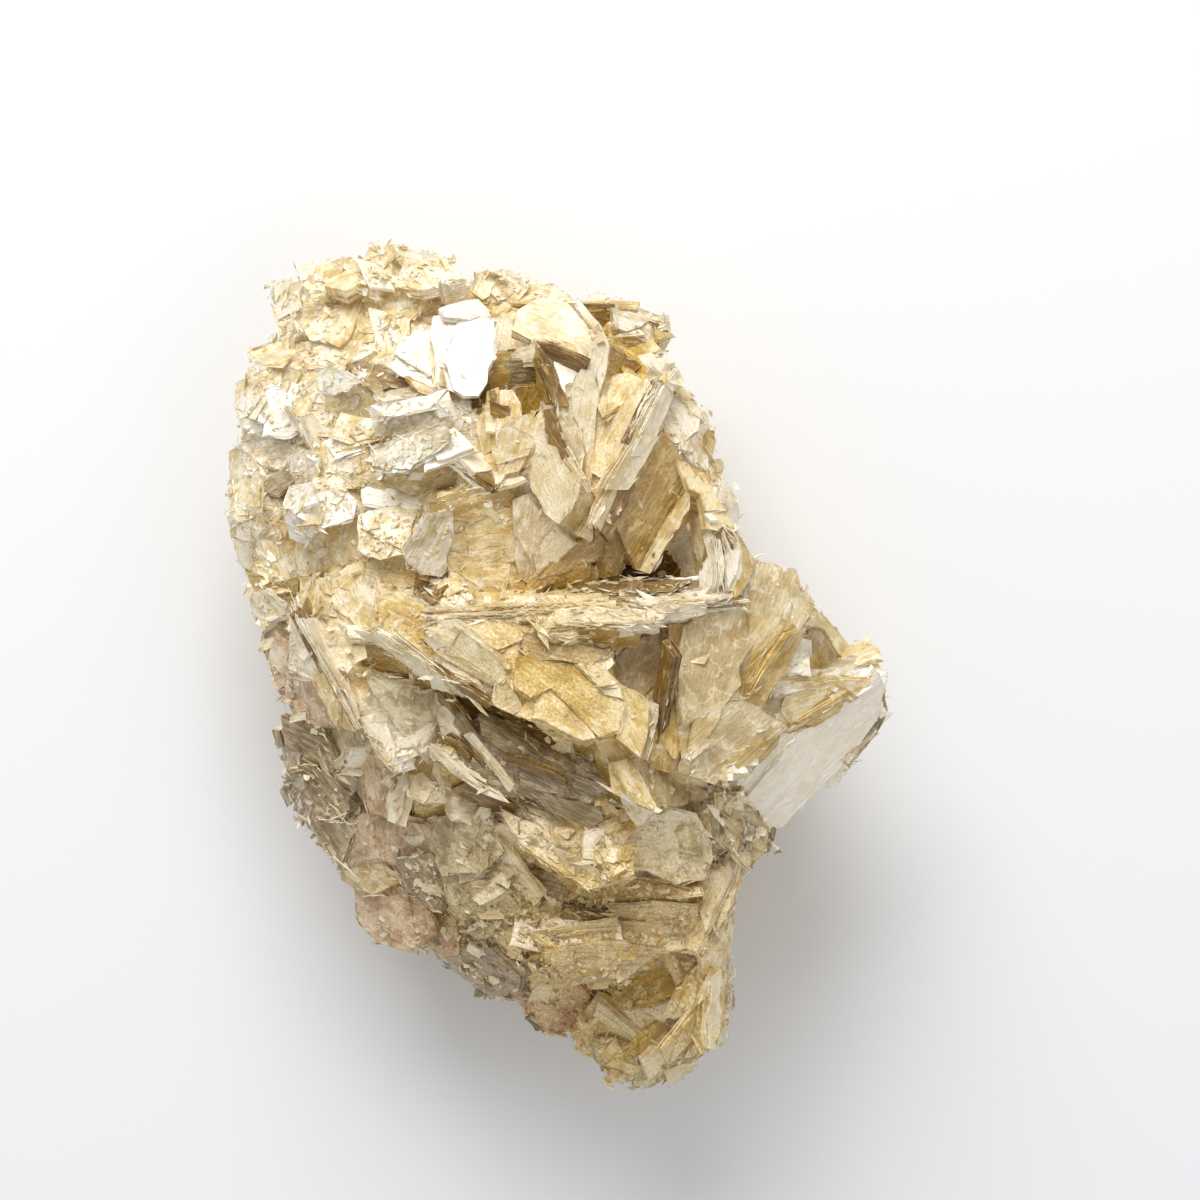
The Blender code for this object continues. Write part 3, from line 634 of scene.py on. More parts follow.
def fraysOf(book, perMm, size, luck):
    # torn strands along a book's rim: strand s starts at edge point p_s of a sheet and lies along p_s+1 -
    # p_s
    edge = book["edge"]
    after = np.roll(edge, -1, 1)
    rimLength = np.linalg.norm(edge[-1] - after[-1], axis=1).sum()
    count = int(rimLength * perMm * min(book["pale"] * 1.4, 1))
    if count == 0:
        return None
    sheet = (len(edge) - 1 - np.floor(luck.random(count) ** strand["bias"] * len(edge)).astype(int)).clip(0)
    spot = luck.integers(0, edge.shape[1], count)
    along = after[sheet, spot] - edge[sheet, spot]
    along += luck.normal(0, strand["stray"], (count, 3)) * np.linalg.norm(along, axis=1, keepdims=True)
    along /= np.linalg.norm(along, axis=1, keepdims=True) + 1e-9
    spare = book["face"] + luck.normal(0, strand["stray"], (count, 3))
    normals = spare - (spare * along).sum(1, keepdims=True) * along
    normals /= np.linalg.norm(normals, axis=1, keepdims=True)
    centres = edge[sheet, spot] + luck.normal(0, strand["off"], (count, 3))
    usual, least = strand["length"]
    length = size * luck.exponential(usual, (count, 1)) + least
    width = length * luck.uniform(*strand["width"], (count, 1))
    sizes = np.concatenate([length, width, luck.uniform(*strand["thickness"], (count, 1))], 1)
    tone = "pearl" if luck.random() < 0.35 + 0.5 * book["pale"] else book["tone"]
    return flakesAlong(centres, normals, along, sizes, tone, luck, 4)


def flakeShapes(centres, normals, size, tone, luck, corners):
    # flakes that point any way in their own plane
    normals = normals / np.linalg.norm(normals, axis=1, keepdims=True)
    spare = luck.normal(size=normals.shape)
    along = spare - (spare * normals).sum(1, keepdims=True) * normals
    along /= np.linalg.norm(along, axis=1, keepdims=True)
    return flakesAlong(centres, normals, along, size, tone, luck, corners)


def flakesAlong(centres, normals, along, size, tone, luck, corners):
    # many small prisms at once: corner i of flake f is at centre + r_fi (L cos t_i X + W sin t_i Y) / 2 +-
    # T / 2 N
    count = len(centres)
    across = np.cross(normals, along)
    turn = luck.uniform(-flake["turn"], flake["turn"], (count, corners))
    turn = np.linspace(0, 2 * np.pi, corners, endpoint=False) + turn
    push = luck.uniform(*flake["reach"], (count, corners))
    x = size[:, :1] / 2 * push * np.cos(turn)
    y = size[:, 1:2] / 2 * push * np.sin(turn)
    flat = x[..., None] * along[:, None] + y[..., None] * across[:, None]
    half = (size[:, 2:3] / 2 * normals)[:, None]
    sag = luck.normal(0, flake["sag"], (count, corners, 1)) * size[:, :1, None] * normals[:, None]
    low, high = flat * flake["under"] - half + sag, flat + half + sag
    ends = np.stack([-half[:, 0], half[:, 0]], 1)
    points = (centres[:, None] + np.concatenate([low, high, ends], 1)).reshape(-1, 3)
    quads, fans = ringFaces(2, corners)
    each = 2 * corners + 2
    base = (np.arange(count) * each)[:, None, None]
    plane = np.concatenate([np.stack([x, y], -1), np.stack([x, y], -1), np.zeros((count, 2, 2))], 1)
    plane = (plane + luck.uniform(0, 60, (count, 1, 2))).reshape(-1, 2)
    return dict(
        points=points, plane=plane, tone=tone,
        quads=(base + quads).reshape(-1, 4), fans=(base + fans).reshape(-1, 3),
        rim=np.tile(np.repeat(flake["wear"], (2 * corners, 1, 1)), count),
        shade=luck.uniform(-1, 1, count).repeat(each), layer=luck.uniform(0, 40, count).repeat(each),
    )


def dressMesh(mesh, loops, plane, given, tones, toneOf, sharpAngle):
    # the materials read the flat map of each corner and the other values of each point
    mesh.uv_layers.new(name="sheetPlane").data.foreach_set("uv", plane[loops].astype(np.float32).ravel())
    for label, values in given.items():
        mesh.attributes.new(label, "FLOAT", "POINT").data.foreach_set("value", values.astype(np.float32))
    for tone in tones:
        mesh.materials.append(materials[tone])
    mesh.polygons.foreach_set("material_index", toneOf.astype(np.int32))
    mesh.polygons.foreach_set("use_smooth", np.ones(len(mesh.polygons), bool))
    mesh.set_sharp_from_angle(angle=math.radians(sharpAngle))


def meshOf(name, shapes, tall):
    tones = sorted({shape["tone"] for shape in shapes})
    starts = np.cumsum([0] + [len(shape["points"]) for shape in shapes])
    labels = ("points", "plane", "rim", "shade", "layer")
    points, plane, *given = (np.concatenate([shape[label] for shape in shapes]) for label in labels)
    points = points * mm
    points[:, 2] = np.maximum(points[:, 2], 0)
    # the last of these is painted shade, for the crevices and the shaded places
    given = dict(zip((*labels[2:], "paintedShade"), (*given, crevicesOf(points / mm, tall))))
    faces, toneOf = [], []
    for kind in ("quads", "fans"):
        faces += [shape[kind] + start for shape, start in zip(shapes, starts)]
        toneOf += [np.full(len(shape[kind]), tones.index(shape["tone"])) for shape in shapes]
    loops = np.concatenate([face.ravel() for face in faces]).astype(np.int32)
    counts = np.concatenate([np.full(len(face), face.shape[1]) for face in faces])
    mesh = bpy.data.meshes.new(name)
    mesh.vertices.add(len(points))
    mesh.vertices.foreach_set("co", points.astype(np.float32).ravel())
    mesh.loops.add(len(loops))
    mesh.loops.foreach_set("vertex_index", loops)
    mesh.polygons.add(len(counts))
    mesh.polygons.foreach_set("loop_start", np.concatenate([[0], np.cumsum(counts)[:-1]]).astype(np.int32))
    mesh.update(calc_edges=True)
    dressMesh(mesh, loops, plane, given, tones, np.concatenate(toneOf), 30)
    return mesh


crevice = dict(cell=0.5, blur=5, full=5.2, fade=(7.0, 14.0), flank=0.35, margin=4)
# broad places given painted shade, browner and darker: x, y, spread, share
paintedShadePlaces = [
    (8, -46, 17, 1.0), (-14, -30, 15, 0.55), (14, -28, 12, 0.56), (8, 27, 12, 0.22), (-2, 0, 11, 0.66),
    (-2, 20, 9, 0.25), (-33, -12, 10, 0.40), (-25, 4, 9, 0.30), (22, -2, 12, 0.22), (-8, -14, 10, 0.12),
    (3, -32, 9, 0.40), (-14, 5, 7, 0.16), (2, 2, 15, 0.34), (4, 30, 16, 0.30), (-4, 42, 10, 0.26),
]


def crevicesOf(points, tall):
    # painted shade: how deep a point lies under the specimen's front round it, (blurred height - z) / full,
    # less far down the flanks
    low, size, heights = tall
    at = np.clip(((points[:, :2] - low) / crevice["cell"]).astype(int), 0, np.array(size) - 1)
    under = heights[at[:, 0], at[:, 1]] - points[:, 2]
    near, far = crevice["fade"]
    fade = np.clip((under - near) / (far - near), 0, 1)
    paintedShade = np.clip(under / crevice["full"], 0, 1)
    paintedShade = paintedShade * (1 - fade) + crevice["flank"] * fade
    # the places of painted shade add share exp(-(distance / spread)^2)
    for x, y, spread, share in paintedShadePlaces:
        paintedShade += share * np.exp(-((points[:, 0] - x) ** 2 + (points[:, 1] - y) ** 2) / spread**2)
    return np.clip(paintedShade, 0, 1)


def tallMap(points):
    # the highest point in each square cell, then a box blur, the mean over 2 b + 1 cells each way, done
    # twice
    low = points[:, :2].min(0) - crevice["margin"]
    size = tuple(((points[:, :2].max(0) + crevice["margin"] - low) / crevice["cell"]).astype(int) + 1)
    at = ((points[:, :2] - low) / crevice["cell"]).astype(int)
    heights = np.zeros(size)
    np.maximum.at(heights, (at[:, 0], at[:, 1]), points[:, 2])
    reach = crevice["blur"]
    for _ in range(2):
        for axis in (0, 1):
            shifted = [np.roll(heights, step, axis) for step in range(-reach, reach + 1)]
            heights = sum(shifted) / len(shifted)
    return low, size, heights


def showPiece(name, mesh):
    piece = bpy.data.objects.new(name, mesh)
    bpy.context.scene.collection.objects.link(piece)
    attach(piece, "root")
    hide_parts("mica_cluster")
    mesh.calc_loop_triangles()
    print(name, "triangles:", len(mesh.loop_triangles))


plates = []
# the steepest slope that the solid under a plate can give it
steepest = 2.0


def eased(axes, heading, spots, outline, proud):
    # the solid under the outline slopes by g, the least squares fit of z = g . (x, y) + c. The face's own
    # slope is brought toward it until the two differ by at most proud at the outline's ends
    terms = np.column_stack([spots[:, :2], np.ones(len(spots))])
    ground = np.linalg.lstsq(terms, spots[:, 2], rcond=None)[0][:2]
    ground *= min(1, steepest / (np.linalg.norm(ground) + 1e-9))
    own = -axes[2][:2] / axes[2][2]
    half = np.ptp(outline, axis=0).max() / 2
    slope = ground + (own - ground) * min(1, proud / (half * np.linalg.norm(own - ground) + 1e-9))
    toward, tilt = math.atan2(-slope[1], -slope[0]), math.atan(np.linalg.norm(slope))
    return leanAxes(heading, math.degrees(toward), math.degrees(tilt))


def plateShape(row, region, luck):
    # the outline, seen from the front, is carried straight down onto the leaning plane, which lies at the
    # median height of the solid inside it
    tone, heading, toward, tilt, thickness, sheets, lift, corners = row
    axes = leanAxes(heading, toward, tilt)
    thickness, lift = thickness * region["slim"], lift * region["slim"]
    outline = np.array(corners, float).reshape(-1, 2)
    ahead = np.roll(outline, -1, 0)
    if (outline[:, 0] * ahead[:, 1] - outline[:, 1] * ahead[:, 0]).sum() < 0:
        outline = outline[::-1]
    outline = fromFront(outline, heightAt(*outline.mean(0)))
    middle = middleOf(outline)
    spots = gridOver(outline, 0.06, 0.94, 9)
    spots = spots[insideOf(spots, outline)]
    tops = [topOf(*spot) for spot in spots]
    spots = np.array([[*spot, top] for spot, top in zip(spots, tops) if top is not None])
    if len(spots) > 3:
        axes = eased(axes, heading, spots, outline, region["proud"])
    levels = [usualHeight]
    if len(spots):
        levels = spots[:, 2] + (spots[:, :2] - middle) @ axes[2][:2] / axes[2][2]
    face = np.array([*middle, np.median(levels) + lift])
    plates.append(dict(outline=outline, face=face, normal=axes[2], litter=region["litter"]))
    steps = outline - middle
    steps = np.column_stack([steps, -steps @ axes[2][:2] / axes[2][2]])
    flat = steps @ np.stack([axes[0], axes[1]], 1)
    return bookShape(face - thickness / 2 * axes[2], axes, flat, thickness, sheets, region, tone, luck)


def plantBooks(region):
    luck = np.random.default_rng(region["seed"])
    books = [plateShape(row, region, luck) for row in region["plates"]]
    for x, y, length, width, thickness, heading, toward, tilt, tone, sheets, lift in region["blades"]:
        axes = leanAxes(heading, toward, tilt)
        middle = fromFront(np.array([x, y]), heightAt(x, y))
        place = seat(*middle, axes, (length, width, thickness), lift)
        outline = brokenOutline(length, width, int(luck.integers(4, 7)), luck)
        books.append(bookShape(place, axes, outline, thickness, sheets, region, tone, luck))
    frays = [fraysOf(book, region["frays"], region["frayLength"], luck) for book in books]
    return books + [shape for shape in frays if shape]


# each plate: finish, heading of its lines, the way its face leans and how far, thickness, sheets, lift over
# the solid, then its corners seen from the front, x and y in turn
# each blade: x, y, length, width, thickness, heading, toward, tilt, finish, sheets, lift over the solid
crown = dict(
    seed=21, proud=0.7, spread=0.9, slim=0.22, step=0.8, fray=0.16, groove=0.12, ledge=1.4, bend=0.25,
    curl=0.1, relief=0.18, terraces=2, pale=0.7, frays=1.8, frayLength=1.2, litter=1.0,
    plates=[
        ("cream", 25, 110, 26, 1.8, 5, 0.4, (-33.6,46.4, -30,47.4, -26.6,47, -24,45, -27.8,43, -32.6,44.4)),
        ("glare", 36, 120, 34, 1.2, 4, 0.8, (-35,42.4, -32,44.4, -29.6,45.8, -30.2,43.8, -33.4,41.6)),
        ("pearl", 15, 100, 30, 1.6, 5, 0.4, (-34.8,42.2, -30.2,43.4, -27.6,42.6, -27.4,40.4, -31.4,40.2,
            -34.6,40.6)),
        ("cream", 70, 120, 24, 1.6, 5, 0.4, (-24,46.8, -20.2,45.6, -20.4,43, -21.8,41, -23.4,43)),
        ("honey", 20, 105, 40, 1.6, 5, 0.4, (-31.4,52.4, -27.6,53.2, -26,51.2, -29.4,49.8, -32,50.6)),
        ("pearl", -60, 70, 44, 1.2, 4, 0.8, (-25.4,53.4, -24.4,53.2, -22.6,50.6, -24,50.8)),
        ("cream", 10, 95, 44, 1.6, 5, 0.4, (-19.6,53.6, -15.2,53.8, -13.2,51.4, -17,50, -20.4,51)),
        ("cream", 0, 90, 40, 1.6, 5, 0.4, (-9.8,51.6, -6.4,51.8, -4.6,50.4, -6.2,48.4, -9.6,49)),
        ("honey", 30, 100, 34, 1.4, 4, 0.3, (-23.4,49.6, -19.8,50.2, -17.2,48.6, -19,46.6, -22.6,47.4)),
        ("pearl", 30, 120, 40, 1.4, 4, 0.5, (-33.8,53.2, -31,53.8, -30.4,52.4, -33,51.8)),
        ("honey", -80, 160, 40, 1.4, 4, 0.3, (-37,47, -35.6,47.4, -34.6,45, -36.4,44)),
        ("cream", 80, 170, 46, 1.6, 5, 0.2, (-37.2,50.2, -35.4,50.6, -34.6,48, -36.8,47.4)),
        ("pearl", 0, 95, 30, 1.2, 4, 0.5, (-14.6,50.2, -12.6,49.8, -12.4,48.6, -14.2,48.8)),
        ("cream", -10, 92, 32, 1.4, 4, 0.4, (-4.6,50.4, -1,50.2, 1.6,48.4, -2.6,48.4, -5.8,48.6)),
    ],
    blades=[],
)

upperPlates = dict(
    seed=22, proud=2.2, spread=0.5, slim=0.7, step=0.7, fray=0.10, groove=0.25, ledge=0.7, bend=0.15,
    curl=0.08, relief=0.09, terraces=2, pale=0.75, frays=1.6, frayLength=1.3, litter=0.02,
    plates=[
        # the bright plate and its wings
        ("glare", 84, 92, 22, 1.2, 5, 0.4, (-15.9,46.6, -14.4,46.8, -8.4,46, -8.4,41.2, -9.3,39.6, -9.6,37.6,
            -10.4,36.2, -12,36.1, -13.6,37.2, -15.2,37.4, -15.4,40.4, -16.2,44.6)),
        ("pearl", 64, 112, 22, 1.2, 5, 0.3, (-18.4,44.5, -17,44.6, -16.7,42, -16.2,39.6, -16,37.4,
            -17.2,37.6, -20.4,39.2, -21.6,40.2, -20.6,42.2)),
        ("honey", 84, 100, 22, 0.7, 3, 0.6, (-17,44.8, -16.4,45, -15.9,42, -15.1,37.4, -15.8,37.3,
            -16.5,42)),
        ("glare", -6, 92, 30, 1.2, 4, 0.5, (-14.8,47.4, -12.6,48.2, -10.4,48.6, -9.4,47.6, -9,46.6,
            -11.4,46.2, -14.4,46.6)),
        ("amber", -14, 265, 40, 1.4, 6, 0.1, (-19.4,38.2, -15.4,37.3, -13.8,37.6, -12.2,36.2, -13.8,34.8,
            -16.2,36, -17.8,36.6)),
        ("glare", 40, 90, 12, 0.8, 3, 0.5, (-12.7,33.8, -11.6,34.1, -11.6,34.8, -12.4,34.9)),
        ("pearl", 80, 80, 25, 1.6, 5, 0.4, (-8.3,46, -6.2,46.2, -5.4,44.6, -3.6,43.6, -5.4,42, -8.2,41.6)),
        # the hood over the window
        ("cream", -20, 100, 28, 1.8, 7, 0.4, (-4.6,47.4, -2.6,48.6, 1.6,48.2, 3.6,45.4, 5.4,43.2, 3.6,41.8,
            0.2,43.2, -3.6,43.6, -5.4,44.6)),
        ("pearl", -48, 46, 48, 1.6, 7, 0.6, (2,47.6, 3.4,48.8, 4.4,47.4, 5.6,45.8, 6.6,43.8, 5.6,43.2,
            4.2,45)),
        ("bark", -20, 280, 30, 1.2, 6, 0.0, (4.2,47.6, 7.6,47.4, 8,46.2, 6.4,45, 5.2,46.2)),
        ("amber", 0, 90, 60, 1.0, 5, 0.5, (3.8,48.3, 10.8,48.5, 10.6,47.7, 4.2,47.4)),
        ("silver", -20, 60, 28, 1.6, 5, 0.4, (7.8,47.6, 10.8,47.9, 13.4,45.8, 14,44.6, 12.6,43.4, 10.6,44.6,
            8.4,45)),
        ("amber", -8, 60, 24, 0.9, 3, 0.3, (13.4,45.7, 15.4,44.1, 13.8,43.6, 13.5,44.8)),
        ("honey", 8, 95, 40, 1.2, 5, 0.5, (6.6,44, 9,45, 11.2,44.4, 12.6,43.4, 10.8,43.2, 8,43.4)),
        ("pearl", 10, 90, 46, 0.8, 4, 0.9, (8.4,44.8, 10.4,45, 11.2,44.4, 9.4,44.4)),
        ("honey", -35, 50, 26, 1.6, 6, 0.3, (10.4,43.6, 12.6,43.2, 13.4,42, 12,41.3, 13.6,39.4, 11.4,37.6,
            9.2,39, 8.6,41.4)),
        ("pearl", -50, 50, 44, 1.4, 7, 0.6, (12,41.4, 13.4,41.8, 15.4,40.8, 16.6,39, 16.7,37.6, 15.4,37.8,
            14.6,38.9, 13.2,40)),
        ("amber", -30, 270, 34, 1.4, 5, 0.1, (6.6,42.8, 8.8,41.6, 11.2,40, 9.4,38.9, 8,37.9, 6.8,38,
            6.5,40)),
        ("honey", 60, 240, 22, 1.2, 5, 0.2, (6.8,38, 9.6,38.6, 11.4,37.6, 9.2,35.2, 6.6,33.4, 5.8,35.4,
            6.4,37.4)),
        # the window, which shines with painted glow, and the blades that frame it
        ("clear", -66, 85, 10, 0.8, 3, 3.4, (-1,41.1, 3.6,39.1, 2.6,36.6, 1.2,34.9, 0.1,37.6)),
        ("bark", -70, 30, 34, 1.2, 8, 2.6, (-1.8,42, -0.9,41.3, 0.25,37.6, 1.4,34.9, 0.4,34.6, -0.5,36.6,
            -2.1,40.6)),
        ("amber", -74, 200, 40, 1.2, 7, 1.2, (-2.1,40.6, -0.6,36.7, 0.3,34.7, -0.9,34.2, -2.2,36.6,
            -2.8,39.2)),
        ("bark", -24, 250, 26, 1.2, 8, 3.4, (-1.7,42.1, -0.3,41.9, 4,40.1, 3.5,39, -0.8,41)),
        ("honey", -24, 70, 40, 1.2, 7, 1.8, (-0.6,43.2, 2,42.5, 4.6,40.8, 3.9,40, -0.4,41.9)),
        ("pearl", 6, 90, 34, 1.2, 5, 1.0, (-6,41, -5,41.9, -2.2,42.4, -0.8,42.1, -1.8,41.4, -2.4,40.2,
            -4.6,40.2)),
        ("amber", 12, 275, 24, 1.4, 5, 0.4, (-9,40.6, -6.6,41.2, -6,40.2, -6.4,37.4, -8.4,36.6, -9.4,38)),
        ("slate", 5, 270, 24, 1.2, 4, 0.6, (-6.2,40.2, -2.6,40.2, -2,38.4, -2.6,36.6, -5.8,36.6)),
        ("amber", 60, 300, 34, 1.2, 4, 0.1, (-4.8,36.6, -2.6,36.6, -1.6,34.4, -3,33.4, -4.8,32.4)),
    ],
    blades=[],
)

fan = dict(
    seed=23, proud=2.6, spread=0.4, slim=0.8, step=0.7, fray=0.12, groove=0.28, ledge=0.8, bend=0.2,
    curl=0.1, relief=0.11, terraces=3, pale=0.8, frays=1.8, frayLength=1.6, litter=0.08,
    plates=[
        ("pearl", 79, 176, 38, 2.2, 9, 0.8, (6.1,43.8, 7,42.4, 6.6,39.5, 5.7,36.2, 5.2,32.8, 4.9,29.5,
            4.3,28.6, 3.8,31.2, 2.6,34, 2.3,36.2, 3.5,38.8, 4.4,40.6, 5.2,43.2)),
        ("cream", 84, 176, 34, 1.8, 7, 0.6, (4.9,31.5, 5.1,27, 4.4,23.4, 3.3,22.4, 3.6,27, 4,30.6)),
        ("silver", -63, 205, 24, 1.4, 6, 0.8, (-0.9,34.6, 0.4,34.7, 1.4,33.9, 3.4,30.9, 3.6,28.2, 3.3,26.2,
            2.1,25.3, 0.4,27.8, -0.4,30.6)),
        ("bark", -64, 210, 50, 1.0, 6, 0.9, (-1.3,33.6, -0.5,33.8, 0.6,29.8, 2.2,26, 1.5,25.4, 0,27.6,
            -1.1,31.2)),
        ("pearl", -70, 195, 20, 2.0, 6, 0.5, (-1.6,32.2, -0.9,31.2, 0.2,27.7, 1.9,25.4, 3.2,24.8, 2.6,22.4,
            1.6,20.6, 0.4,19.2, -1.2,20.4, -2.2,22.6, -3.2,24.6, -3,28, -2.2,30.6)),
        ("cream", -50, 215, 22, 1.6, 6, 0.4, (2.6,22.6, 4.4,22.6, 5.8,20.2, 5.6,18.4, 3.6,16.8, 2.2,16, 1,18,
            0.2,19.6)),
        ("silver", 78, 240, 18, 2.0, 8, 0.5, (-5.4,21.6, -3.8,22.2, -2.6,21, 0,18.6, 2.2,16, 0,13.8,
            -1.8,11.9, -3.3,10.6, -4.4,11.4, -5.2,14, -5.2,18)),
        ("pearl", 46, 240, 22, 0.8, 4, 0.8, (0,18.4, 2.1,16, 0,13.9, -2.2,12, -2.6,14, -1.2,17)),
        ("amber", 40, 130, 44, 1.4, 7, 0.5, (6.4,17.8, 4.2,16.8, 2.4,16, -3.8,9.7, -2.4,9.5, 1.8,13.2,
            5.4,14.2, 6.5,16)),
        ("amber", 20, 280, 30, 1.2, 5, 0.0, (-2.4,9.6, 1.6,13, 4,13.6, 5.4,12.4, 5,10.4, 0.5,10)),
        ("cream", 62, 157, 30, 3.6, 12, 0.7, (12.6,38.6, 13.7,39.2, 13.9,38, 12.8,35.4, 11,31.8, 10.2,29.6,
            8.6,26.9, 7.6,24.8, 6.8,22.2, 5.6,20.2, 5,22.4, 5,26.6, 5.3,31, 6.4,33, 9.2,35)),
        ("bark", 58, 330, 30, 1.4, 5, 0.2, (9.9,25.4, 10.4,24.2, 9.6,21.8, 8.4,19.4, 7.2,17, 6.4,17.8,
            6,18.6, 7.2,21.4, 8.2,24.2)),
        ("amber", 60, 325, 34, 2.2, 8, 0.3, (13.6,31, 15.4,30.6, 16.6,28.4, 17.2,25.6, 17.6,23, 14.2,17.2,
            12.6,14.6, 12.2,12.8, 11,13, 9.4,16.4, 8.6,18.6, 9.8,22.4, 11,25.8, 12.4,28.4)),
        ("honey", 62, 320, 28, 1.4, 6, 0.7, (12.4,28.2, 14.6,29.8, 15.8,26.8, 14.8,22.6, 12.8,19, 11.6,19.8,
            11.4,24.2)),
        ("honey", 58, 150, 56, 1.2, 7, 1.0, (17.9,23.4, 17.5,20.8, 12.7,12.6, 11.9,12.9, 14.3,17.8)),
        ("amber", 64, 330, 40, 1.2, 6, 0.5, (17.9,23.2, 17.9,19.2, 16.6,16.8, 15,15.8, 16.4,19.8)),
        ("amber", 66, 150, 40, 1.4, 7, 0.6, (8.6,17.8, 9.7,16.8, 8.2,11.4, 6.7,10.4, 5,10.6, 6,14.4,
            6.8,17.2)),
        # the upright blades at the right edge
        ("cream", 88, 185, 44, 1.6, 7, 0.5, (18.2,23.4, 19.3,22.8, 20,19.8, 20.2,17.4, 19.5,15, 19.2,12,
            18.4,10.2, 17.3,10.4, 17.6,13.6, 18.4,17.4, 17.9,20.2)),
        ("pearl", 86, 180, 44, 1.4, 7, 0.8, (20.2,17.8, 21,16.6, 21.5,13.6, 21.2,11.2, 20.4,10.2, 19.3,10.2,
            19.6,12.6, 20.5,14.6, 20,16.6)),
        ("bark", 84, 0, 40, 1.2, 5, 0.1, (21,16.8, 22.4,18, 23.4,16.4, 23.2,12.6, 22.6,10.4, 21.4,10.2,
            21.7,13.8)),
        ("pearl", 92, 10, 46, 1.4, 7, 0.7, (22.6,18.3, 23.8,17.4, 24.7,15.2, 24.7,12.8, 24.2,10.2, 23.3,10.2,
            23.2,12.6, 23.5,15, 22.9,16.8)),
        ("amber", -70, 20, 50, 1.2, 5, 0.2, (24.2,17.6, 25.6,15.2, 26.4,14, 25.4,11, 24.4,9.6, 24.5,12.8,
            24.7,15.4)),
        ("honey", -61, 28, 52, 1.8, 7, 0.4, (16.2,29.4, 17.4,29.6, 19.2,27.4, 21.8,21.8, 24.2,17.6, 22.8,18,
            20.4,18.6, 20.2,20.8, 19.6,22.8, 18.2,23.6, 17,26.8)),
        ("silver", -60, 40, 30, 1.8, 6, 0.4, (15,35, 16.6,36.2, 18.2,35.2, 19.2,33, 19,31, 17.6,30,
            16.2,29.6, 14.4,31.4, 13.9,33.4)),
        ("silver", -66, 20, 38, 1.6, 6, 0.3, (19.2,33, 20.6,31.4, 21.2,29.9, 20.4,28, 20,26.4, 18.4,27.6,
            17.4,29, 19,30.8)),
        ("amber", -70, 20, 46, 1.0, 4, 0.6, (20.2,31.6, 21.2,29.9, 20.8,28.2, 20.2,29.4)),
        ("honey", -55, 45, 50, 1.2, 6, 0.4, (15.4,38, 16.8,37.2, 18.4,35.4, 19.6,32.8, 18.8,33, 17.4,35.2,
            15.6,36.2)),
        # the pale plates left of the fan
        ("cream", 82, 165, 26, 1.6, 6, 0.5, (-8,36.6, -5.8,36.4, -4.8,34.8, -4.6,32.6, -6.2,31.4, -8.4,31.8,
            -8.8,34.4)),
        ("honey", 84, 175, 36, 1.6, 7, 0.4, (-9.6,36.2, -8.5,36.6, -8.2,31.6, -7.8,28.8, -9.4,28, -10.2,32)),
        ("cream", 72, 190, 22, 1.6, 7, 0.5, (-6.8,31.6, -4.4,32.8, -2,33.6, -1.4,31.6, -2.8,29.6, -3.8,27.6,
            -5.2,25.8, -7.4,25.2, -7.9,28)),
        ("silver", 80, 240, 36, 1.2, 6, 0.3, (-3.9,27.8, -3,28.4, -3,24.8, -4,22.6, -5.6,23.4, -5.4,25.4)),
    ],
    blades=[
        (14.3, 36.6, 6.0, 2.4, 1.8, 74, -20, 46, "pearl", 9, 0.9),
        (12.6, 32.6, 9.0, 2.6, 2.0, 66, -24, 46, "pearl", 10, 0.8),
        (10.0, 27.4, 8.5, 3.0, 1.8, 58, -30, 40, "pearl", 9, 0.8),
        (7.4, 22.6, 8.5, 1.8, 1.6, 60, -30, 44, "pearl", 8, 0.7),
        (11.6, 33.4, 9.0, 1.0, 1.2, 64, -24, 60, "bark", 8, 0.7),
        (5.4, 19.2, 4.6, 1.8, 1.2, 50, -40, 40, "cream", 6, 0.6),
        (2.8, 25.6, 6.0, 1.2, 1.2, -60, 215, 46, "pearl", 6, 0.9),
    ],
)

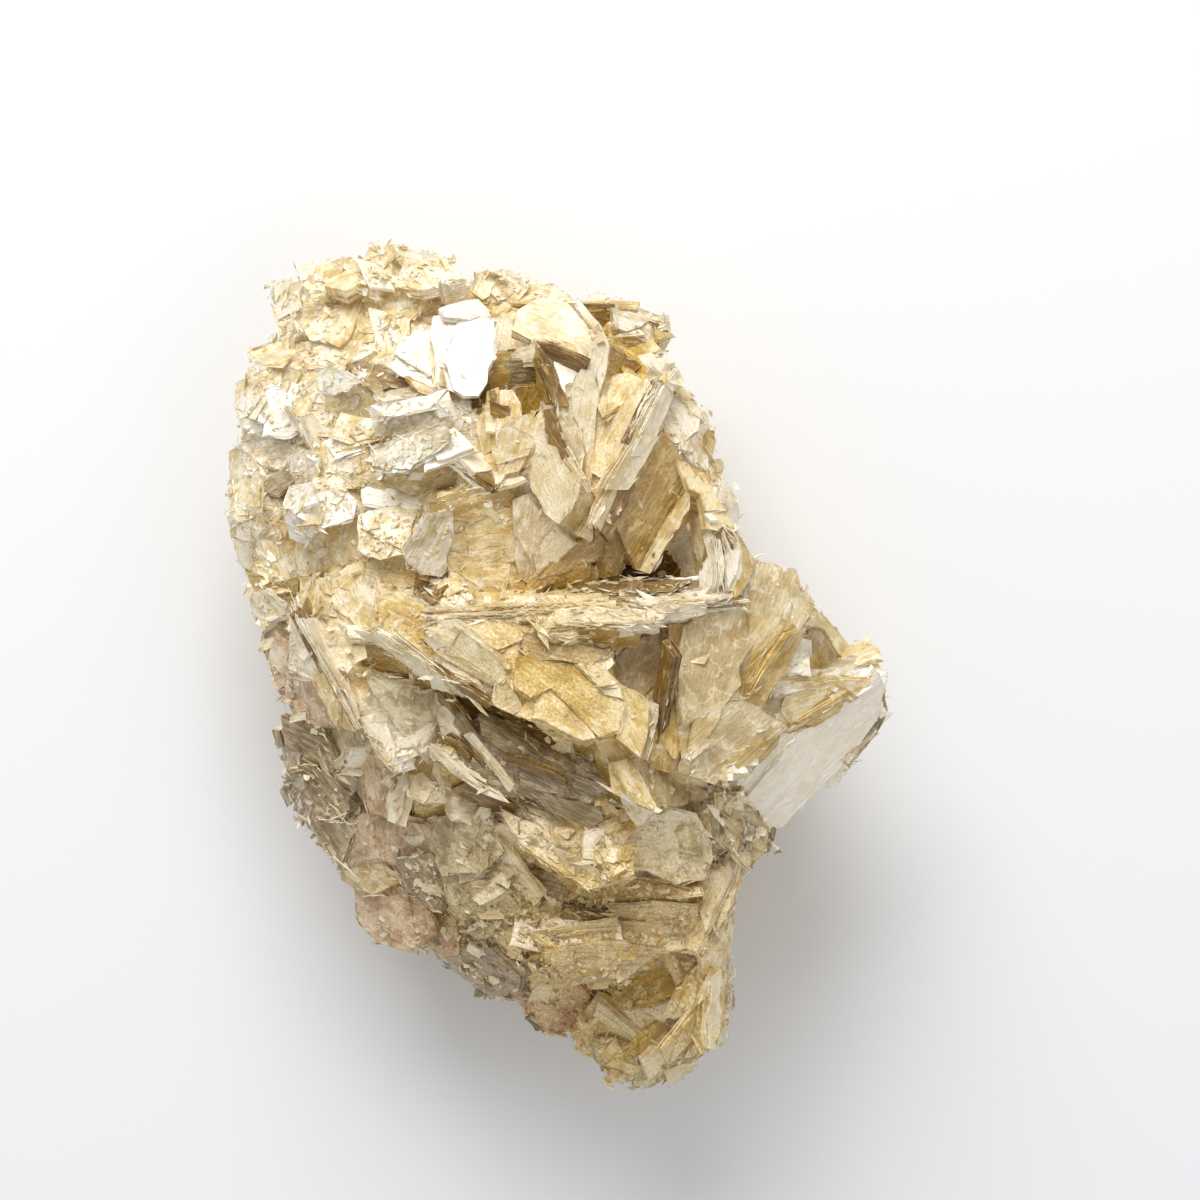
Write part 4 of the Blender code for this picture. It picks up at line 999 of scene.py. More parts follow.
shingles = dict(
    seed=24, proud=0.8, spread=0.8, slim=0.24, step=0.8, fray=0.16, groove=0.12, ledge=1.4, bend=0.3,
    curl=0.1, relief=0.18, terraces=2, pale=0.7, frays=2.2, frayLength=1.4, litter=0.9,
    plates=[
        ("bark", -14, 262, 44, 1.4, 8, 0.3, (-27,39.8, -25.6,40, -21.6,38.8, -19,38.4, -19.2,37.8,
            -22.4,37.8, -24.2,37, -26,38)),
        ("silver", -8, 100, 18, 1.4, 5, 0.3, (-23.4,37.8, -19.2,37.6, -16.6,36.2, -15,35.6, -18,35, -22,35,
            -23.6,36.2)),
        ("glare", 10, 95, 34, 1.0, 4, 0.9, (-23.4,34.4, -17.6,35.2, -14.8,35.9, -14.6,35.1, -18,34.4,
            -22,33.8)),
        ("silver", 14, 250, 26, 1.8, 8, 0.4, (-24.2,33.6, -22,33.8, -18,34.2, -14.6,34.8, -13.6,33,
            -15.2,31.4, -19.8,30.8, -23.6,31.6)),
        ("silver", 28, 245, 28, 1.8, 9, 0.4, (-24,28.6, -20.6,30, -17.2,31, -15.2,31.8, -14.6,30.2,
            -16.8,28.2, -20,26.4, -23.8,26.8)),
        ("haze", 18, 250, 24, 1.6, 8, 0.3, (-22.6,24.6, -20,26.8, -16.4,28.2, -14.6,27.6, -12.4,24.4,
            -15.6,23.2, -19.8,23)),
        ("pearl", 50, 110, 16, 1.6, 5, 0.6, (-39.2,33.2, -38.4,36.2, -37,37.6, -35,37, -34.2,35, -36,33.4,
            -38,32.8)),
        ("glare", 10, 105, 20, 1.4, 5, 0.6, (-38,32.6, -35.6,33.6, -33.6,32, -35.2,31, -38.2,31.2)),
        ("honey", 20, 120, 14, 1.6, 6, 0.3, (-30.4,36.8, -27,37.2, -23.6,36.2, -23,34.6, -25,32.4, -28.4,32,
            -30,34.2)),
        ("pearl", 20, 110, 22, 1.2, 5, 0.5, (-31.6,38.6, -29.2,38.8, -26.6,37.6, -29.6,36.8, -31.2,37.2)),
        ("silver", 15, 150, 22, 1.6, 7, 0.4, (-39.2,30.6, -35.8,31, -33.4,30.2, -32.4,28.6, -34.6,26.4,
            -38.6,27.2, -41.4,29.4)),
        ("silver", 20, 160, 20, 1.6, 7, 0.4, (-37,27, -34,28, -31.6,27.2, -31.4,25.4, -33.6,23.6, -37.2,24)),
        ("glare", 20, 110, 24, 1.0, 3, 0.8, (-29.6,29.6, -27.6,30.2, -26.6,28.8, -28.6,28.2)),
        ("honey", 30, 130, 22, 1.4, 5, 0.3, (-29.4,28, -25.6,28.4, -24.6,26.4, -26.2,24.4, -29.2,24.6)),
        ("cream", 25, 120, 26, 1.6, 6, 0.4, (-40.4,38.6, -37.6,40.8, -35,40.6, -34,38.6, -36.6,37.4,
            -39.6,37.2)),
        ("honey", 15, 120, 30, 1.4, 5, 0.3, (-40,42, -37,42.6, -35.2,41.6, -36.4,40.2, -39.4,40.4)),
        ("cream", 35, 150, 26, 1.6, 6, 0.3, (-42.6,36.8, -40.2,37.6, -39.2,35.2, -40.4,33, -42.4,33.8)),
        ("pearl", 40, 140, 22, 1.4, 5, 0.4, (-33.6,36.2, -31.8,37.4, -30.4,36, -31.4,33.8, -33.4,34)),
        ("cream", 60, 120, 20, 1.4, 5, 0.3, (-33.2,33.2, -30.6,34, -29.4,31.6, -31.4,30.2, -33.2,31)),
        ("cream", 30, 120, 20, 1.4, 5, 0.4, (-28,33, -24.6,32.4, -23.8,30.8, -26.6,30.2, -29,30.8)),
        ("pearl", 20, 110, 14, 1.6, 6, 0.5, (-32,22.4, -28.6,23.2, -27,21.8, -27.4,20, -30.6,19,
            -33.2,20.2)),
        ("glare", 30, 130, 18, 1.4, 5, 0.5, (-35.2,19.4, -33.4,19.8, -32.2,18, -33,16.8, -35,17.4)),
        ("cream", 15, 100, 24, 1.4, 5, 0.4, (-27.4,20.2, -26.2,19.6, -25.9,18.8, -29.8,18.2, -30.4,19)),
        ("cream", 20, 100, 18, 1.8, 6, 0.4, (-25.6,19.6, -21,20.6, -17,19.6, -17.4,17.6, -20,15.6,
            -23.4,14.8, -25.4,16)),
        ("pearl", 10, 95, 22, 1.2, 5, 0.5, (-25.2,23.4, -21,23.8, -17.6,22.4, -18.4,21.2, -22.4,21.4,
            -25,22)),
        ("honey", 80, 290, 20, 1.8, 6, 0.4, (-29.8,18, -26.2,18.7, -25.6,16.4, -26,13.4, -29.2,13.6,
            -30.2,15.6)),
        ("silver", 62, 300, 18, 1.4, 5, 0.7, (-16.9,19.2, -14,19.7, -14.1,17.4, -15.2,14.6, -15.8,12.6,
            -17.4,12.8, -19.6,15, -18,17)),
        ("amber", 14, 275, 34, 1.6, 5, 0.1, (-16,21.2, -13,22.2, -10.8,23.8, -8,23.6, -6.2,22.6, -5.8,21.8,
            -8.2,20.4, -11.8,19.4, -15.8,19.8)),
        ("honey", 10, 280, 16, 1.6, 5, 0.3, (-14,19.4, -8,20.4, -5.4,20, -5.2,14.4, -9,13.6, -13.8,14.6)),
        ("honey", 0, 285, 14, 1.4, 5, 0.4, (-13.8,14.4, -9,13.4, -5,14.2, -4.6,10.8, -8,9.4, -12.6,10.2)),
        ("bark", 70, 290, 36, 1.2, 4, 0.1, (-18,12.2, -15.4,13, -14.8,10.6, -16.4,9.2, -18,10.2)),
        ("honey", -15, 280, 24, 1.4, 6, 0.3, (-25,12.8, -21.2,14.4, -17.8,12.4, -18.2,10.4, -21.4,9,
            -24,9.4)),
        ("cream", -70, 30, 18, 1.8, 6, 0.4, (-30.4,10.6, -27.4,12.6, -25.2,11.8, -23.6,8.8, -24.4,5.2,
            -27.2,4.8, -29.8,6.6)),
        ("honey", -20, 75, 20, 1.8, 6, 0.3, (-23.4,8.6, -20,9.4, -16.2,9, -15.8,6.2, -17.2,4, -20.4,4.2,
            -24,5.4)),
        ("cream", -60, 190, 18, 1.6, 6, 0.4, (-39,12.8, -38.2,14.6, -36.6,15, -34.8,12.6, -34.8,10.8,
            -37.4,10, -39.2,11.2)),
        ("amber", -10, 250, 46, 1.0, 5, 0.5, (-40.4,11.8, -39.2,11.2, -37.4,9.9, -34.8,10.9, -34.9,10,
            -37.6,9.1, -39.6,10.2)),
        ("pearl", -32, 220, 36, 1.4, 6, 0.5, (-39.8,8.8, -38.6,9.2, -36,7.8, -36.4,6.2, -38,5.9, -39.6,7.2)),
        ("honey", 70, 175, 26, 1.4, 5, 0.3, (-43.4,23.4, -41.2,24.8, -39.4,23.2, -39.6,20.6, -42.4,19.8)),
        ("cream", 60, 185, 30, 1.4, 5, 0.3, (-43.2,19.4, -40,20.2, -38.6,18.6, -41,17, -43.2,17.4)),
        ("silver", 60, 200, 20, 1.4, 5, 0.3, (-38.4,18.4, -36.6,18.8, -35.2,16.8, -36.6,15, -38.8,15.2)),
        ("cream", 80, 175, 34, 1.4, 5, 0.3, (-43.4,28, -41.4,28.8, -40.2,26.4, -41.2,24.6, -43.4,25)),
        ("cream", 60, 200, 34, 1.4, 5, 0.3, (-42.6,16.4, -40.4,16.8, -39.2,14.6, -40.6,12.8, -42.2,13.8)),
        ("cream", 60, 30, 24, 1.4, 6, 0.4, (-34,15.8, -32,16.6, -31.2,13.6, -32.4,11.4, -33.8,12.6)),
        ("honey", 70, 30, 40, 1.4, 7, 0.4, (-33.6,11, -32.2,11.4, -31.2,7.6, -32,5.4, -33.4,7.4)),
        ("pearl", 30, 120, 22, 1.4, 5, 0.4, (-35.4,23.4, -32.8,23.8, -32.2,21.8, -34.4,20.8, -36,21.8)),
    ],
    blades=[
        (-12.4, 27.6, 7.5, 2.4, 1.6, -40, 50, 46, "pearl", 7, 0.7),
        (-10.8, 26.0, 6.5, 1.8, 1.2, -34, 60, 56, "bark", 7, 0.6),
        (-8.6, 24.8, 6.5, 2.2, 1.4, 10, 100, 46, "pearl", 6, 0.5),
        (-14.6, 28.8, 4.5, 2.4, 1.2, 20, 110, 30, "pearl", 5, 0.6),
        (-32.0, 30.4, 4.5, 1.6, 1.2, -66, 20, 46, "pearl", 5, 0.8),
        (-35.6, 25.0, 5.0, 2.0, 1.2, 40, 150, 40, "slate", 6, 0.5),
    ],
)

sill = dict(
    seed=25, proud=2.4, spread=0.3, slim=1.0, step=0.55, fray=0.30, groove=0.3, ledge=0.6, bend=0.3,
    curl=0.12, relief=0.18, terraces=3, pale=1.1, frays=4.8, frayLength=2.2, litter=0.3,
    plates=[
        ("pearl", 3, 262, 30, 1.2, 7, 1.2, (-2.4,5, 0.4,7.2, 6,7.4, 13,6.8, 13.4,5, 9,4.6, 5.4,4.6, 1.6,4,
            -1.2,4.2)),
        ("pearl", 4, 262, 34, 1.2, 7, 1.0, (12.6,7.4, 16,7.8, 20,8, 19.6,6.8, 17.2,5.8, 13.4,5.6)),
        ("silver", 2, 260, 36, 1.0, 6, 0.6, (-14.2,7, -8,7.2, -1,7.4, -1.8,6.2, -7,5.9, -12.2,6)),
        ("pearl", 14, 262, 40, 1.2, 8, 1.2, (10.4,8.6, 16,9.4, 20.4,10.2, 23.4,10.4, 23,9.2, 18,8.6,
            12,7.9)),
    ],
    blades=[
        (3.6, 8.5, 38.5, 8.0, 1.3, 3.4, 93, 79, "cream", 8, 0.2),
        (4.6, 7.5, 38.0, 8.0, 1.2, 2.8, 92, 80, "pearl", 8, 0.3),
        (-3.0, 7.9, 22.0, 6.0, 0.9, 2.0, 92, 78, "honey", 6, 0.4),
        (6.4, 6.0, 15.0, 6.0, 1.2, 1.0, 92, 74, "pearl", 6, 0.4),
        (9.0, 10.2, 15.0, 4.0, 0.9, 2, 95, 70, "bark", 5, -0.2),
    ],
)

amberBlade = dict(
    seed=26, proud=2.2, spread=0.3, slim=0.6, step=0.8, fray=0.14, groove=0.3, ledge=0.8, bend=0.2, curl=0.1,
    relief=0.11, terraces=3, pale=0.75, frays=1.6, frayLength=1.6, litter=0.1,
    plates=[
        ("pearl", -38, 235, 24, 2.0, 7, 0.7, (-15.2,5.2, -13.4,5.6, -11.2,3.8, -7.2,0.7, -6.5,-1.8, -8,-1.8,
            -12,0.4, -14.8,2.2)),
        ("cream", -36, 240, 34, 1.4, 6, 0.4, (-15.8,2, -12,0.6, -8,-1.6, -5.2,-3.2, -7.6,-2.8, -12.2,-0.6)),
        ("silver", -33, 56, 16, 2.0, 7, 0.6, (-15.8,0.8, -13.6,1.2, -11.6,0, -7.6,-2.6, -8.4,-4.9,
            -11.2,-3.4, -16,-0.6)),
        ("pearl", -28, 240, 40, 1.4, 8, 0.8, (-16.4,-0.6, -12,-2.2, -8.4,-4.8, -7.9,-5.8, -12.4,-4,
            -16.2,-3.2)),
        ("pearl", 30, 60, 16, 1.4, 6, 0.4, (-7.8,-2.8, -5.2,-3.2, -3.2,-4.2, -4,-5.4, -4.8,-6.8, -7.4,-5.6,
            -8.2,-5)),
        ("honey", -34, 60, 18, 2.4, 8, 0.3, (-6.6,0.4, -3.2,1.6, 2.6,0.6, 4.2,-1.2, 7,-3.6, 9.4,-5.4,
            8.6,-8.6, 6.2,-9.4, 3.8,-7.2, -0.6,-2.9, -3.4,-4.2, -5.8,-2.4)),
        ("cream", -36, 62, 24, 1.6, 5, 0.5, (-0.6,-2.4, 1.4,-4, 3.6,-6.6, 5,-9.4, 3.4,-9.6, -0.8,-7.8,
            -4.3,-6.2, -3.2,-4.3)),
        ("amber", -32, 236, 34, 1.4, 7, 0.5, (-4.5,-6.3, -0.8,-7.9, 3.4,-9.7, 5.2,-9.6, 4,-11.2, 2.2,-10.3,
            -0.4,-9.4, -3.6,-7.6)),
        ("haze", -14, 80, 14, 1.6, 6, 0.3, (-7.2,2.6, -4.4,4.4, -0.6,3.8, 3.4,2.4, 7.2,1.7, 4,0.2, 0,0.4,
            -4,0.2)),
        ("honey", -30, 262, 20, 1.4, 6, 0.2, (-12,5.6, -6.4,5.8, -2.6,4.8, -4.4,3.4, -7.2,2.4, -10.4,3.6)),
        ("amber", 0, 265, 30, 1.4, 5, 0.1, (-0.4,4, 6,4.7, 11.2,4.2, 10.8,2.2, 7.4,1.8, 3.4,2.5)),
        ("pearl", -40, 60, 18, 1.0, 4, 0.8, (3.2,0, 5.6,1.2, 7.2,1.9, 7.6,0.4, 6.6,-0.6, 8.4,-2.6, 8.8,-4,
            7,-3.6, 5.2,-1.8)),
        ("honey", -60, 40, 18, 1.8, 6, 0.4, (8.8,-2.8, 11.8,-4.2, 12.8,-5.4, 12.5,-8, 11.2,-11.8, 8.4,-9.6,
            9.5,-6)),
        ("pearl", -80, 10, 40, 1.0, 6, 0.8, (12.5,-5, 13.2,-5.3, 12.6,-9, 11.8,-12.2, 11,-11.9, 12.1,-8.6)),
        ("haze", 60, 20, 10, 1.8, 5, 0.0, (8.2,1.2, 11.2,3.6, 15.8,5.2, 15.4,1, 13.8,-2.4, 11.8,-4.2,
            8.6,-2.2, 7.4,-0.4)),
        ("honey", -55, 40, 26, 1.6, 6, 0.3, (5.4,-10.4, 8.6,-9.8, 10.8,-12.2, 9.8,-13.6, 7.6,-13.4,
            6,-12.6)),
        ("honey", -56, 40, 30, 1.6, 6, 0.3, (7.6,-13.2, 10.2,-12.8, 11.6,-15.2, 13.4,-19.2, 10.2,-17.8,
            8,-15.8)),
        ("haze", -60, 330, 20, 1.6, 5, 0.1, (10.4,-12.6, 12.2,-12.2, 15.2,-14.6, 18,-15.6, 17.4,-18.4,
            14,-19.4, 12,-16.4)),
        ("pearl", -48, 42, 44, 1.4, 8, 0.7, (8.4,-16.4, 9.4,-17, 12.6,-19.2, 13.2,-20.6, 11,-21.4,
            9.2,-19.2)),
        ("amber", -50, 235, 40, 1.4, 6, 0.2, (5,-12.4, 6.6,-13.2, 8.2,-16.2, 8.8,-19, 7,-18, 6.2,-15)),
    ],
    blades=[
        (-9.4, 2.6, 9.0, 1.6, 1.2, -40, 235, 50, "pearl", 7, 1.0),
        (-12.6, -2.6, 9.0, 1.2, 1.0, -32, 240, 60, "bark", 6, 0.7),
        (-4.6, -8.2, 10.0, 1.0, 1.0, -33, 240, 60, "bark", 7, 0.5),
    ],
)

darkFace = dict(
    seed=27, proud=2.4, spread=0.3, slim=0.7, step=0.7, fray=0.12, groove=0.35, ledge=0.9, bend=0.2,
    curl=0.1, relief=0.11, terraces=3, pale=0.55, frays=1.6, frayLength=1.6, litter=0.1,
    plates=[
        ("slate", -26, 238, 44, 2.4, 9, 0.4, (-9.8,-8, -6,-7.6, -0.2,-10.2, 2.4,-12.2, 6.2,-14.4, 7,-17,
            4.6,-18.4, 0.4,-17.6, -3.6,-16.4, -5.6,-14.2, -6.6,-12, -9.6,-9.8)),
        ("bark", -24, 230, 50, 1.4, 7, 0.6, (-14.4,-3.8, -11.6,-4, -8,-5.4, -4.6,-7.4, -0.4,-10, -0.6,-10.8,
            -5.2,-8.8, -9.4,-7.8, -12.2,-6.8)),
        ("pearl", -34, 57, 46, 1.2, 7, 0.8, (-16.2,-10.6, -14.4,-11.3, -11,-14, -7.6,-16.2, -6.2,-17.6,
            -9.2,-16.4, -13.4,-13.8)),
        ("amber", -25, 250, 44, 1.2, 5, 0.1, (-14.2,-13.6, -10,-16.2, -5.6,-18, -4.6,-19, -11.8,-17.4,
            -13.6,-16.4)),
        ("pearl", -40, 60, 24, 1.0, 5, 0.7, (-0.6,-10.3, 1.8,-9.9, 2.4,-12, 4.8,-13.4, 3.6,-14, 1,-12.6)),
        ("slate", -26, 250, 36, 1.6, 8, 0.4, (-4.6,-15.4, 0.4,-17.6, 4.6,-18.6, 8.4,-19.4, 4.2,-21.8,
            -0.6,-19.8, -4.6,-17.6)),
        ("silver", -50, 215, 30, 1.4, 7, 0.3, (-16,-4, -14.2,-4.4, -12.6,-7.6, -13,-10.6, -14.6,-9.6,
            -15.6,-7)),
        ("pearl", -60, 57, 50, 1.0, 6, 0.9, (-8.6,-6.4, -6.6,-6.6, -7.4,-7.6, -8.8,-7.4)),
    ],
    blades=[
        (-11.6, -9.4, 13.0, 3.0, 1.6, -57, 215, 56, "bark", 9, 0.5),
        (-9.8, -11.6, 10.5, 1.6, 1.2, -54, 218, 60, "slate", 7, 0.8),
        (-8.6, -12.8, 8.5, 0.9, 0.8, -52, 220, 60, "pearl", 5, 1.2),
        (-12.4, -11.8, 6.0, 2.0, 1.0, -40, 218, 50, "bark", 6, 0.4),
        (-4.0, -10.6, 14.0, 1.6, 1.2, -30, 235, 50, "slate", 8, 0.5),
        (1.6, -14.6, 9.0, 1.4, 0.8, -24, 240, 44, "slate", 5, 0.9),
        (-2.4, -13.4, 8.0, 1.2, 0.8, -22, 240, 44, "bark", 5, 0.8),
    ],
)

broadFace = dict(
    seed=28, proud=2.0, spread=0.6, slim=0.5, step=0.9, fray=0.12, groove=0.28, ledge=0.8, bend=0.25,
    curl=0.1, relief=0.14, terraces=3, pale=0.5, frays=1.0, frayLength=1.5, litter=0.06,
    plates=[
        ("haze", 76, 14, 18, 2.4, 8, 0.5, (17.6,4.8, 20.6,6.8, 24.2,8.4, 26.6,6.2, 26.3,3.2, 24,-0.2,
            24.4,-3, 21.6,-5.4, 17.2,-7.6, 16.6,-3, 17,1)),
        ("haze", 70, 30, 24, 2.2, 7, 0.3, (24,8.4, 25.2,11.4, 26.6,13.4, 29.8,13, 32.2,11, 34,7.2, 32.6,5.2,
            29.4,5.6, 26.4,6)),
        ("honey", 56, 320, 18, 1.4, 6, 0.6, (26.4,5.9, 29.6,5.6, 31.8,4.6, 29,1.2, 26.2,-0.6, 25,-3.8,
            23.8,-0.4, 26.2,3.2)),
        ("amber", 57, 325, 46, 1.6, 7, 0.6, (31.7,4.7, 32.5,3.5, 29.6,-1.6, 26.8,-5.8, 25.2,-4.4, 26.1,-0.8,
            29,1.8)),
        ("amber", 83, 175, 22, 1.8, 7, 0.3, (15.6,5, 18.4,5, 17.1,1, 16.7,-4, 16.9,-9.6, 15.2,-13.8,
            13,-13.4, 13.6,-8.6, 14.3,-4.4, 15.6,0.2)),
        ("haze", 40, 320, 16, 1.8, 7, 0.4, (17,-8, 20,-6.4, 24.4,-5, 26.8,-6.2, 30.4,-8.6, 28.8,-9.8,
            23,-13.6, 21.4,-15.4, 18.4,-14.2, 15.2,-13.8, 16.7,-10)),
        ("honey", 30, 320, 22, 1.0, 4, 0.9, (17,-9, 18.4,-7.6, 23.2,-4.6, 21.8,-6.4, 19.6,-9.8, 17.4,-11.8)),
        ("silver", 38, 150, 30, 0.5, 4, 0.8, (16.4,-11.2, 18,-12, 20.4,-10.2, 19,-10.4, 17.6,-11.2)),
        ("honey", -12, 262, 46, 1.4, 6, 0.4, (13,-13.6, 16,-14, 20,-15, 22.5,-16.6, 20.4,-16, 16.4,-15.5,
            14,-14.9)),
        ("amber", 44, 310, 30, 1.2, 5, 0.4, (26,-11.4, 29.6,-9.2, 29.4,-10.6, 27.4,-12.8, 24.4,-13.9,
            23.4,-13)),
        ("haze", 60, 20, 24, 1.4, 5, 0.4, (33,5.6, 35.2,5.8, 37.6,3.6, 38.4,2, 36.2,0.6, 33.8,-0.4,
            33.6,2.6)),
        ("honey", -52, 40, 46, 1.2, 6, 0.4, (34,7.3, 36,6, 38.7,2.2, 37.8,1.6, 35.4,5.2, 32.8,5.6)),
        ("silver", 70, 330, 20, 1.2, 4, 0.6, (31.4,3.4, 33.6,2.8, 33.9,-0.4, 31.8,-1, 30.4,1.2)),
        ("silver", -20, 80, 20, 0.5, 3, 0.5, (31.6,1, 33.4,0.6, 33.5,-0.8, 31.8,-0.5)),
        ("pearl", 60, 60, 30, 0.4, 3, 0.6, (31.2,4.8, 32.4,4.9, 32.2,4, 31.2,3.8)),
        ("honey", 60, 300, 20, 1.2, 4, 0.6, (33.7,3.4, 36.2,2.2, 36.4,-0.2, 34.1,-0.5)),
        ("silver", 10, 100, 26, 1.6, 6, 0.5, (28.2,-2, 31.6,-0.8, 35.8,-1, 39.4,0.6, 42,1.2, 41.4,-1.2,
            38.8,-2.4, 34,-2.6, 29.2,-3.6)),
        ("honey", 16, 290, 24, 1.8, 7, 0.4, (28.6,-3, 34,-2.4, 39,-2.2, 41.6,-2.4, 39.4,-4.8, 35.6,-7,
            31.6,-8.9, 28.6,-8.2, 27.2,-6.2)),
        ("honey", 28, 120, 44, 1.4, 6, 0.4, (38.2,0.8, 40.6,2.4, 42.4,2.3, 42.8,1.2, 40.6,0.6, 38.2,-0.4)),
        ("pearl", 10, 110, 34, 1.4, 6, 0.5, (38.6,-1.6, 41.6,-1.8, 43.3,-0.8, 42.2,0.7, 40.6,-0.8)),
        ("slate", 20, 300, 20, 1.0, 5, 0.7, (22.6,-7.8, 26.6,-7.4, 30.6,-8.6, 28.4,-9.8, 25.2,-10,
            22.8,-9.6)),
    ],
    blades=[
        (14.2, -5.6, 17.0, 2.0, 1.4, 80, 190, 60, "bark", 7, 0.5),
        (28.8, 0.4, 8.0, 1.0, 1.0, 57, 327, 60, "amber", 5, 1.1),
        (35.2, -6.4, 9.0, 1.6, 0.9, 30, 300, 40, "amber", 6, 0.8),
        (37.0, -4.8, 2.4, 0.8, 0.4, 30, 110, 30, "silver", 3, 0.7),
        (32.8, -7.4, 2.2, 0.8, 0.4, 20, 110, 30, "silver", 3, 0.7),
        (18.4, 0.9, 2.6, 1.2, 0.6, -10, 80, 30, "honey", 3, 0.9),
    ],
)

paleFace = dict(
    seed=29, proud=2.6, spread=0.3, slim=0.6, step=0.8, fray=0.14, groove=0.25, ledge=0.8, bend=0.12,
    curl=0.05, relief=0.09, terraces=1, pale=0.6, frays=1.0, frayLength=1.3, litter=0.0,
    plates=[
        ("moon", 44, 314, 41, 3.4, 8, 0.4, (22.8,-16.6, 24.4,-14.8, 27.8,-12.8, 30.6,-9.8, 34.4,-8.2,
            37.6,-5.8, 41.4,-3.4, 43,-1.2, 43.9,-3, 43.4,-6.4, 41.8,-9, 39.6,-11.8, 37.2,-14.8, 34.6,-17.8,
            31.2,-21.4, 28.8,-22.2, 28,-20.6, 25.6,-18)),
        ("slate", 55, 326, 56, 1.6, 7, 0.2, (43.9,-3, 44.2,-5.6, 42.6,-8.8, 39,-13, 38.2,-12.2, 41.4,-8.4,
            42.9,-5.4)),
        ("moon", 40, 316, 44, 0.8, 3, 0.8, (24.6,-15.6, 29.6,-12.2, 33,-9.6, 34.6,-10.8, 31.6,-14.6,
            28.4,-17.6)),
    ],
    blades=[],
)

